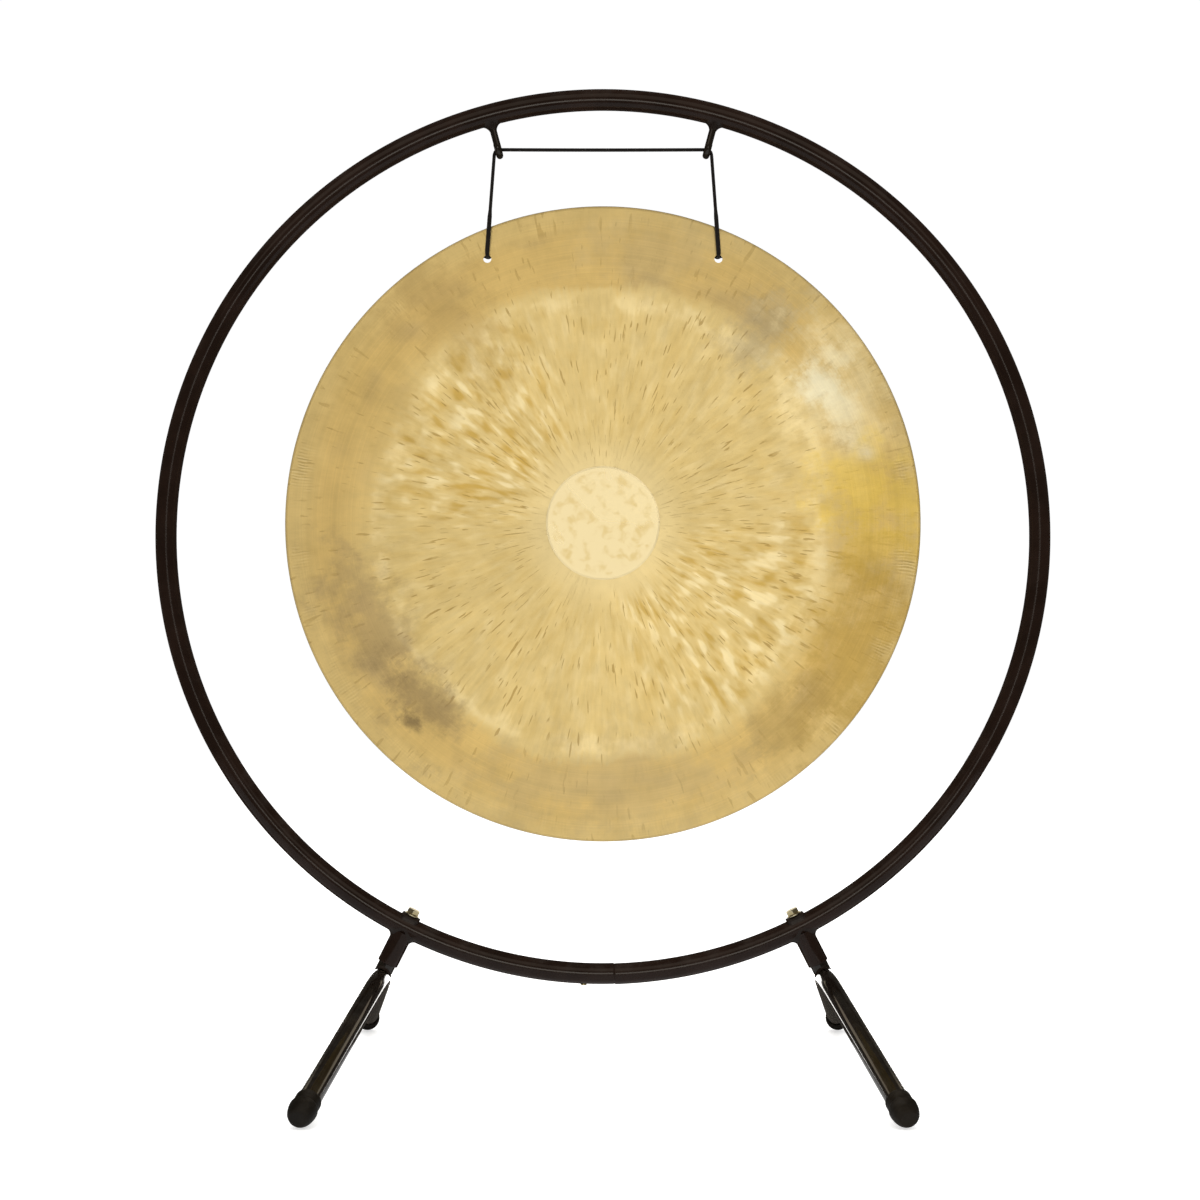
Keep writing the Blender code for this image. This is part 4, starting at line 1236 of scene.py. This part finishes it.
def makeStainAndHighlight():
    # a soft patch round one place on the disc, broken up by noise
    inputs = {"X": 0.0, "Y": 0.0, "Size": 30.0, "Squash": 1.0, "Turn": 0.0, "Ragged": 0.6}
    group, give, take = newGroup("stain", inputs, ["Mask"])
    where = ownPlace(group)
    spot = put(group, "ShaderNodeCombineXYZ", {0: give["X"], 1: give["Y"]}).outputs[0]
    away = put(group, "ShaderNodeVectorMath", {0: where, 1: spot}, operation="SUBTRACT").outputs[0]
    turned = put(group, "ShaderNodeVectorRotate", {"Vector": away, "Angle": give["Turn"]},
                 rotation_type="Z_AXIS").outputs[0]
    parts = put(group, "ShaderNodeSeparateXYZ", {0: turned})
    long = times(group, parts.outputs[0], give["Squash"])
    squared = plus(group, calc(group, "POWER", calc(group, "ABSOLUTE", long), 2.0),
                   calc(group, "POWER", calc(group, "ABSOLUTE", parts.outputs[1]), 2.0))
    near = calc(group, "DIVIDE", times(group, calc(group, "SQRT", squared), 1000.0), give["Size"])
    broken = minus(group, noise(group, where, 34.0, 6.0, 0.68), 0.5)
    rag = times(group, broken, give["Ragged"])
    edge = plus(group, near, times(group, rag, 2.2))
    group.links.new(remap(group, edge, 1.15, 0.15), take["Mask"])
    return group


latheRings = makeLatheRings()
hammerMarks = makeHammerMarks()
stain = makeStainAndHighlight()

brass = {
    "front": {
        "middle": (0.86, 0.715, 0.405),
        "cream": (0.93, 0.78, 0.44),
        "inner": (0.715, 0.540, 0.226),
        "outer": (0.700, 0.494, 0.178),
        "dentShade": (0.56, 0.365, 0.085),
        "tick": (0.40, 0.27, 0.09),
        "stroke": (0.40, 0.26, 0.075),
        "smoke": (0.47, 0.345, 0.165),
        "seed": 0.0,
        "stainsAndHighlights": [
            # x, y, size in mm, squash, turn, colour, strength
            (-0.196, -0.100, 44, 0.42, 1.05, (0.40, 0.29, 0.14), 0.60),
            (-0.158, -0.150, 26, 0.42, 0.85, (0.27, 0.190, 0.09), 0.50),
            (-0.165, -0.172, 9, 0.55, 0.95, (0.17, 0.12, 0.06), 0.65),
            (0.140, 0.168, 30, 0.50, -0.75, (0.42, 0.34, 0.20), 0.60),
            # the next six, pale cream patches up to the right, are painted highlight: a soft glare of the
            # light
            (0.204, 0.108, 58, 0.60, 1.15, (0.95, 0.79, 0.44), 0.55),
            (0.187, 0.121, 20, 0.75, 0.60, (1.0, 0.92, 0.64), 0.80),
            (0.200, 0.145, 15, 0.80, 0.30, (1.0, 0.89, 0.58), 0.60),
            (0.205, 0.104, 18, 0.70, 1.20, (1.0, 0.90, 0.60), 0.65),
            (0.212, 0.074, 18, 0.60, 1.00, (1.0, 0.88, 0.56), 0.55),
            (0.228, 0.060, 9, 0.80, 0.20, (1.0, 0.95, 0.76), 0.55),
            (0.232, 0.030, 52, 0.75, 0.20, (0.79, 0.55, 0.100), 0.75),
            (0.236, -0.020, 30, 0.60, 0.10, (0.82, 0.56, 0.090), 0.50),
            (0.224, -0.030, 30, 0.90, 1.40, (0.50, 0.34, 0.095), 0.40),
            (0.215, -0.115, 60, 0.60, 1.90, (0.52, 0.33, 0.060), 0.60),
            (0.165, -0.165, 34, 0.55, -0.80, (0.42, 0.29, 0.10), 0.50),
            (-0.140, 0.185, 44, 0.50, 0.70, (0.50, 0.34, 0.12), 0.50),
            (-0.195, 0.110, 40, 0.50, 1.10, (0.56, 0.39, 0.13), 0.40),
            (0.045, 0.235, 40, 0.50, 0.00, (0.56, 0.44, 0.23), 0.35),
            (0.010, -0.225, 60, 0.40, 0.00, (0.50, 0.39, 0.20), 0.42),
        ],
        "lobe": 2.48,          # where the dents catch the light most, radians
        "lobeShare": 0.70,
        "lay": 1.96,
        "tickSide": 2.9,       # the rim's ticks are plainest here and opposite
    },
    "back": {
        "middle": (0.80, 0.64, 0.31),
        "cream": (0.80, 0.64, 0.31),
        "inner": (0.74, 0.56, 0.24),
        "outer": (0.64, 0.45, 0.16),
        "dentShade": (0.50, 0.335, 0.095),
        "tick": (0.36, 0.25, 0.10),
        "stroke": (0.36, 0.24, 0.075),
        "smoke": (0.42, 0.31, 0.15),
        "seed": 40.0,
        "stainsAndHighlights": [
            (0.120, -0.120, 60, 0.6, 0.8, (0.36, 0.27, 0.14), 0.6),
            (-0.140, 0.100, 44, 0.7, -0.5, (0.46, 0.36, 0.20), 0.5),
            (0.040, 0.200, 38, 0.6, 0.2, (0.40, 0.30, 0.15), 0.45),
        ],
        "lobe": 0.80,
        "lobeShare": 0.4,
        "lay": 1.20,
        "tickSide": 1.0,
    },
}


def makeBrass(name, look):
    material, tree, inputs = newMaterial(name)
    seed = look["seed"]
    where = ownPlace(tree)
    flat = put(tree, "ShaderNodeVectorMath", {0: where, 1: (1, 1, 0)}, operation="MULTIPLY").outputs[0]
    radius = put(tree, "ShaderNodeVectorMath", {0: flat}, operation="LENGTH").outputs["Value"]
    share = calc(tree, "DIVIDE", radius, gongRadius)
    parts = put(tree, "ShaderNodeSeparateXYZ", {0: where})
    angle = calc(tree, "ARCTAN2", parts.outputs[1], parts.outputs[0])
    lathe = place(tree, latheRings, Spacing=1.2, Patchy=0.6)
    marks = place(tree, hammerMarks, Around=17.0, Along=50.0, Seed=seed)
    small = place(tree, hammerMarks, Around=40.0, Along=80.0, Seed=seed + 9.0)
    broad = place(tree, hammerMarks, Around=4.5, Along=30.0, Seed=seed + 31.0)
    strokes = place(tree, hammerMarks, Around=72.0, Along=60.0, Seed=seed + 55.0)
    scratch = place(tree, hairlines, Size=9.0, Amount=0.8)
    cloud = noise(tree, where, 9.0, 4.0, 0.6)
    blotch = noise(tree, where, 30.0, 3.0, 0.6)

    def around(value, strength):
        return times(tree, minus(tree, value, 0.5), strength)

    def both(first, second):
        return times(tree, first, second)

    def tinted(colour, share, name):
        return mixColours(tree, share, colour, rgb(look[name]))

    ragged = plus(tree, around(cloud, 0.13), around(blotch, 0.07))
    ragged = plus(tree, ragged, around(marks["Streak"], 0.05))
    wander = plus(tree, share, ragged)

    # three turned zones: the raised middle, the hammered field and the lathed border
    centreShare = gong["centreRadius"] / gongRadius
    isMiddle = remap(tree, share, centreShare - 0.001, centreShare + 0.0012, 1.0, 0.0)
    # the border fades in softly at the sides and sharply above and below
    sideways = calc(tree, "POWER", calc(tree, "ABSOLUTE", calc(tree, "COSINE", angle)), 2.0)
    fadeFrom = timesPlus(tree, sideways, -0.085, 0.735)
    fadeTo = timesPlus(tree, sideways, 0.100, 0.762)
    isOuter = remap(tree, wander, fadeFrom, fadeTo)
    colour = mixColours(tree, isOuter, rgb(look["inner"]), rgb(look["outer"]))
    # painted highlight: the field is painted paler toward the middle, where the front light's reflection is
    # brightest
    nearMiddle = both(remap(tree, share, 0.30, 0.18), 0.30)
    colour = tinted(colour, nearMiddle, "cream")
    nearRim = both(remap(tree, wander, 0.88, 0.98), 0.60)
    colour = tinted(colour, nearRim, "inner")
    # the field's border is a little paler, the turned border a little smoky
    arc = both(remap(tree, wander, 0.66, 0.70), remap(tree, wander, 0.745, 0.715))
    colour = tinted(colour, both(both(arc, remap(tree, blotch, 0.42, 0.6)), 0.35), "cream")
    smoke = both(both(isOuter, remap(tree, broad["Dent"], 0.50, 0.70)), remap(tree, wander, 0.95, 0.86))
    colour = tinted(colour, both(smoke, 0.45), "smoke")

    # painted shade and painted highlight: the dents' dark and light sides are painted in, most where they
    # face the light
    lobe = calc(tree, "ABSOLUTE", calc(tree, "COSINE", minus(tree, angle, look["lobe"])))
    lobe = remap(tree, plus(tree, lobe, around(cloud, 0.7)), 0.72, 1.0)
    field = both(remap(tree, wander, 0.20, 0.34), remap(tree, wander, 0.76, 0.66))
    shown = timesPlus(tree, lobe, look["lobeShare"], 0.22)
    dark = remap(tree, marks["Dent"], 0.50, 0.74)
    light = remap(tree, marks["Dent"], 0.48, 0.28)
    fine = remap(tree, small["Dent"], 0.52, 0.72)
    colour = tinted(colour, both(both(dark, field), shown), "dentShade")
    colour = tinted(colour, both(both(fine, field), both(shown, 0.45)), "dentShade")
    colour = tinted(colour, both(both(light, field), both(shown, 0.8)), "cream")

    # short dark strokes left by the hammer's edge, scattered everywhere
    stroke = remap(tree, strokes["Dent"], 0.655, 0.70)
    grouped = remap(tree, blotch, 0.40, 0.56)
    strokeShare = both(both(stroke, grouped), timesPlus(tree, isOuter, -0.35, 0.75))
    strokeShare = both(strokeShare, remap(tree, share, 0.17, 0.24))
    colour = tinted(colour, strokeShare, "stroke")

    # soft streaks, lathe lines and clouds change the tone by a few parts in a hundred
    streakShare = both(remap(tree, share, 0.18, 0.60), timesPlus(tree, isOuter, -0.14, 0.23))
    shade = timesPlus(tree, around(marks["Streak"], 1.0), streakShare, 1.0)
    lineShare = timesPlus(tree, isOuter, 0.26, 0.05)
    shade = plus(tree, shade, both(lathe["Line"], lineShare))
    shade = plus(tree, shade, both(around(lathe["Band"], 0.22), isOuter))
    shade = plus(tree, shade, around(cloud, 0.34))
    shade = plus(tree, shade, around(blotch, 0.34))
    shade = plus(tree, shade, around(broad["Streak"], 0.14))
    # painted highlight: two opposite quarters are painted lighter, where the one-way polish catches the light
    lay = calc(tree, "COSINE", times(tree, minus(tree, angle, look["lay"]), 2.0))
    shade = timesPlus(tree, lay, 0.045, shade)

    # ticks in a band by the rim
    sway = plus(tree, around(cloud, 22.0), around(small["Dent"], 5.0))
    ticks = calc(tree, "SINE", timesPlus(tree, angle, gong["ticks"], sway))
    tickMask = remap(tree, ticks, 0.0, 0.9)
    jitter = plus(tree, share, around(small["Dent"], 0.07))
    band = both(remap(tree, jitter, 0.915, 0.945), remap(tree, jitter, 0.994, 0.975))
    patchy = remap(tree, noise(tree, where, 16.0, 3.0, 0.6), 0.48, 0.66)
    sidesMost = calc(tree, "COSINE", times(tree, minus(tree, angle, look["tickSide"]), 2.0))
    patchy = both(patchy, remap(tree, sidesMost, -0.5, 0.9, 0.12, 1.0))
    patchy = both(patchy, remap(tree, small["Streak"], 0.36, 0.60))
    tickShare = both(both(tickMask, band), timesPlus(tree, patchy, 0.44, 0.015))
    colour = tinted(colour, tickShare, "tick")
    tickGap = both(both(remap(tree, ticks, 0.0, -0.9), band), both(patchy, 0.4))
    colour = tinted(colour, tickGap, "cream")

    # stains, and the painted highlight patches, each a soft mask over the colour
    for x, y, size, squash, turn, patchColour, strength in look["stainsAndHighlights"]:
        mask = place(tree, stain, X=x, Y=y, Size=float(size), Squash=squash, Turn=turn, Ragged=1.25)["Mask"]
        colour = mixColours(tree, both(mask, strength), colour, rgb(patchColour))

    # the middle: polished, mottled by small blows, with a clean border
    mottle = noise(tree, where, 88.0, 2.0, 0.5, 0.3)
    mottled = remap(tree, mottle, 0.46, 0.72)
    ring = remap(tree, share, centreShare - 0.022, centreShare - 0.010, 1.0, 0.0)
    middle = mixColours(tree, both(both(mottled, ring), 0.75), rgb(look["middle"]), rgb(look["inner"]))
    grey = put(tree, "ShaderNodeCombineColor", {0: shade, 1: shade, 2: shade}).outputs[0]
    colour = mixColours(tree, 1.0, colour, grey, "MULTIPLY")
    colour = mixColours(tree, isMiddle, colour, middle)
    # the rim itself is dull and brown
    rim = remap(tree, share, 0.9970, 0.9990)
    colour = mixColours(tree, rim, colour, rgb((0.66, 0.54, 0.33)))
    tree.links.new(colour, inputs["Base Color"])

    rough = timesPlus(tree, isOuter, 0.06, 0.32)
    rough = timesPlus(tree, isMiddle, -0.04, rough)
    rough = plus(tree, rough, around(cloud, 0.20))
    rough = timesPlus(tree, both(scratch["Mask"], remap(tree, share, 0.19, 0.26)), 0.06, rough)
    rough = timesPlus(tree, tickShare, 0.2, rough, clamp=True)
    tree.links.new(rough, inputs["Roughness"])
    tree.links.new(timesPlus(tree, cloud, -0.12, 1.0, clamp=True), inputs["Metallic"])

    # dents and strokes as relief, in tenths of a millimetre
    height = times(tree, both(marks["Dent"], field), -1.6)
    outside = minus(tree, 1.0, isMiddle)
    height = timesPlus(tree, both(marks["Streak"], outside), 0.25, height)
    height = timesPlus(tree, both(stroke, outside), -0.18, height)
    height = timesPlus(tree, both(lathe["Line"], outside), 0.10, height)
    height = timesPlus(tree, both(both(tickMask, band), plus(tree, patchy, 0.12)), -0.24, height)
    height = timesPlus(tree, both(mottle, isMiddle), 0.9, height)
    addBump(tree, inputs, height, 0.8, 0.00025)
    return material


def makeGong():
    mesh = gongMesh()
    piece = objectFrom("gong", mesh, [makeBrass("gongFront", brass["front"]),
                                      makeBrass("gongBack", brass["back"])], None, 180)
    hang = Matrix.Translation(tiltPivot) @ Matrix.Rotation(-hangTilt, 4, "X")
    faceFront = Matrix.Rotation(radians(90), 4, "X")
    piece.matrix_world = hang @ Matrix.Translation((0, faceAt, gongMiddle)) @ faceFront
    bpy.context.view_layer.update()
    for sign in sides.values():
        ring = turned([(gong["holeRadius"], -12 * mm), (gong["holeRadius"], 12 * mm)], 64)
        drill = bpy.data.objects.new("drill", ringMesh("drill", ring, capStart=True, capEnd=True))
        bpy.context.scene.collection.objects.link(drill)
        drill.matrix_world = piece.matrix_world @ Matrix.Translation((sign * holeX, holeRise, 0))
        bpy.context.view_layer.update()
        cut = piece.modifiers.new("hole", "BOOLEAN")
        cut.operation, cut.solver, cut.object = "DIFFERENCE", "EXACT", drill
        bpy.context.view_layer.update()
        done = bpy.data.meshes.new_from_object(piece.evaluated_get(bpy.context.evaluated_depsgraph_get()))
        piece.modifiers.clear()
        piece.data = done
        bpy.data.objects.remove(drill, do_unlink=True)
    piece.data.shade_smooth()
    piece.data.set_sharp_from_angle(angle=radians(38))
    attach(piece, "gong")
    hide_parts("gong_disc")


makeGong()
print("gong made")


# floor, light and camera

studio = {
    "floorSize": 14.0,
    "paperSize": (1.6, 0.90),
    "paperAt": -0.39,
    "lens": 57.53,
    "shiftUp": 0.0742,
    "cameraAt": (-0.0025, -1.65, 0.3304),
    "room": 0.07,
}
lamps = {
    # name: where, aimed at, size, brightness, colour, mirrored by shiny things, lit pieces
    "frontFill": ((0.0, -2.7, 0.90), (0, 0, 0.55), (2.6, 2.5), 1.02, (1.0, 0.985, 0.95), True, "metal"),
    "sideGlint": ((0.70, -2.6, 1.00), (0.2, 0, 0.55), (0.34, 0.34), 1.3, (1.0, 0.99, 0.94), True, "metal"),
    "frontLamp": ((0.0, -1.9, 0.37), (0, 0, 0.42), (0.40, 0.40), 4.5, (1.0, 0.93, 0.82), True, "stand"),
    "upperFill": ((0.0, -2.0, 2.3), (0, 0, 0.45), (3.4, 1.7), 0.72, (1.0, 0.84, 0.68), True, "stand"),
    "shoulderCard": ((0.0, 1.6, 0.31), (0, 0, 0.31), (1.9, 0.60), 6.0, (1.0, 0.98, 0.95), True, "legs"),
    "legPaper": ((0.0, 1.62, 0.004), (0, 1.62, 1.0), (2.4, 2.4), 6.0, (1.0, 0.97, 0.93), True, "legs"),
    "leftCard": ((-1.6, 1.6, 1.35), (0, 0, 0.1), (0.7, 0.7), 1.2, (1.0, 0.84, 0.62), True, "legs"),
    "rightCard": ((1.6, 1.6, 1.35), (0, 0, 0.1), (0.7, 0.7), 1.2, (1.0, 0.84, 0.62), True, "legs"),
    "floorFront": ((0.0, -2.3, 0.004), (0, -2.3, 1.0), (6.0, 3.6), 0.30, (1.0, 0.985, 0.95), True, "disc"),
    "leftFill": ((-3.6, -2.2, 1.1), (0, 0, 0.5), (3.2, 2.6), 0.30, (1.0, 0.99, 0.96), True, "disc"),
    "rightFill": ((3.6, -2.2, 1.1), (0, 0, 0.5), (3.2, 2.6), 0.30, (1.0, 0.99, 0.96), True, "disc"),
    "rearFill": ((0.0, 2.7, 1.1), (0, 0, 0.6), (7.0, 2.8), 1.0, (1.0, 0.99, 0.96), True, "metal"),
    "floorRear": ((0.0, 2.3, 0.004), (0, 2.3, 1.0), (6.0, 3.6), 0.95, (1.0, 0.985, 0.95), True, "metal"),
    "rearSoftbox": ((0.0, 2.4, 1.1), (0, 0, 0.45), (2.4, 1.6), 1.0, (1.0, 1.0, 1.0), False, None),
    "topSoftbox": ((0.0, 0.0, 2.6), (0, 0, 0.45), (2.2, 2.2), 2.0, (1.0, 1.0, 1.0), False, "notGong"),
}
litPieces = {
    "metal": ("gong", "boltWasher", "legBolt", "spliceScrew"),
    "disc": ("gong",),
    "legs": ("legTube",),
    "stand": ("hoop", "socket", "legSocket", "legSpigot", "spigotWeld", "legTube", "rubberFoot",
              "saddlePad", "cordHook", "hookWeld"),
}
# the top light only grazes the disc, so it is kept off it
litPieces["notGong"] = litPieces["stand"] + ("cord", "bolt", "legBolt", "spliceScrew", "studio")


def addLamp(name, at, toward, size, brightness, colour, mirrored, lit):
    lamp = bpy.data.lights.new(name, "AREA")
    lamp.shape = "RECTANGLE"
    lamp.size, lamp.size_y = size
    lamp.energy = brightness * pi * size[0] * size[1]
    lamp.color = colour
    thing = bpy.data.objects.new(name, lamp)
    bpy.context.scene.collection.objects.link(thing)
    thing.location = at
    thing.rotation_euler = (Vector(toward) - Vector(at)).to_track_quat("-Z", "Y").to_euler()
    thing.visible_camera = False
    thing.visible_glossy = mirrored
    if lit:
        group = bpy.data.collections.new(name)
        for piece in list(bpy.context.scene.objects):
            if piece.type == "MESH" and piece.name.startswith(litPieces[lit]):
                group.objects.link(piece)
        thing.light_linking.receiver_collection = group


def addSheet(name, sizeX, sizeY, height, glow, tone=0.8):
    shape = bmesh.new()
    bmesh.ops.create_grid(shape, x_segments=40, y_segments=40, size=0.5)
    mesh = bpy.data.meshes.new(name)
    shape.to_mesh(mesh)
    shape.free()
    material, tree, inputs = newMaterial(name)
    cloud = noise(tree, ownPlace(tree), 1.5, 3.0, 0.5)
    colour = mixColours(tree, remap(tree, cloud, 0.3, 0.7), rgb((tone,) * 3), rgb((tone * 1.035,) * 3))
    tree.links.new(colour, inputs["Base Color"])
    inputs["Roughness"].default_value = 0.9
    inputs["Specular IOR Level"].default_value = 0.0
    inputs["Emission Color"].default_value = (1, 1, 1, 1)
    inputs["Emission Strength"].default_value = glow
    sheet = objectFrom(name, mesh, [material])
    sheet.scale = (sizeX, sizeY, 1)
    sheet.location.z = height
    return sheet


def makeStudio():
    # the floor is seen by the camera, and a smaller sheet on it by shiny things
    floor = addSheet("studioFloor", studio["floorSize"], studio["floorSize"], -0.2 * mm, 0.55)
    floor.visible_glossy = False
    paper = addSheet("studioPaper", *studio["paperSize"], -0.4 * mm, 0.25, 0.25)
    paper.location.y = studio["paperAt"]
    paper.visible_camera = False
    paper.visible_diffuse = False
    paper.visible_shadow = False

    world = bpy.context.scene.world or bpy.data.worlds.new("studio")
    bpy.context.scene.world = world
    world.use_nodes = True
    tree = world.node_tree
    tree.nodes.clear()
    path = put(tree, "ShaderNodeLightPath")
    seen = put(tree, "ShaderNodeBackground", {"Color": (1, 1, 1, 1), "Strength": 1.02})
    bounced = put(tree, "ShaderNodeBackground", {"Color": (1.0, 0.985, 0.96, 1), "Strength": 0.9})
    mirrored = put(tree, "ShaderNodeBackground", {"Color": (1.0, 0.90, 0.78, 1), "Strength": studio["room"]})
    first = put(tree, "ShaderNodeMixShader", {0: path.outputs["Is Glossy Ray"], 1: bounced.outputs[0],
                                              2: mirrored.outputs[0]})
    both = put(tree, "ShaderNodeMixShader", {0: path.outputs["Is Camera Ray"], 1: first.outputs[0],
                                             2: seen.outputs[0]})
    put(tree, "ShaderNodeOutputWorld", {0: both.outputs[0]})
    for name, values in lamps.items():
        addLamp(name, *values)

    lens = bpy.data.cameras.new("camera")
    lens.sensor_width, lens.lens = 36.0, studio["lens"]
    lens.shift_y = studio["shiftUp"]
    lens.clip_start, lens.clip_end = 0.05, 60.0
    camera = bpy.data.objects.new("camera", lens)
    bpy.context.scene.collection.objects.link(camera)
    camera.location = studio["cameraAt"]
    camera.rotation_euler = (radians(90), 0, 0)
    bpy.context.scene.camera = camera
    bpy.context.scene.view_settings.view_transform = "Standard"


makeStudio()
print("studio made")
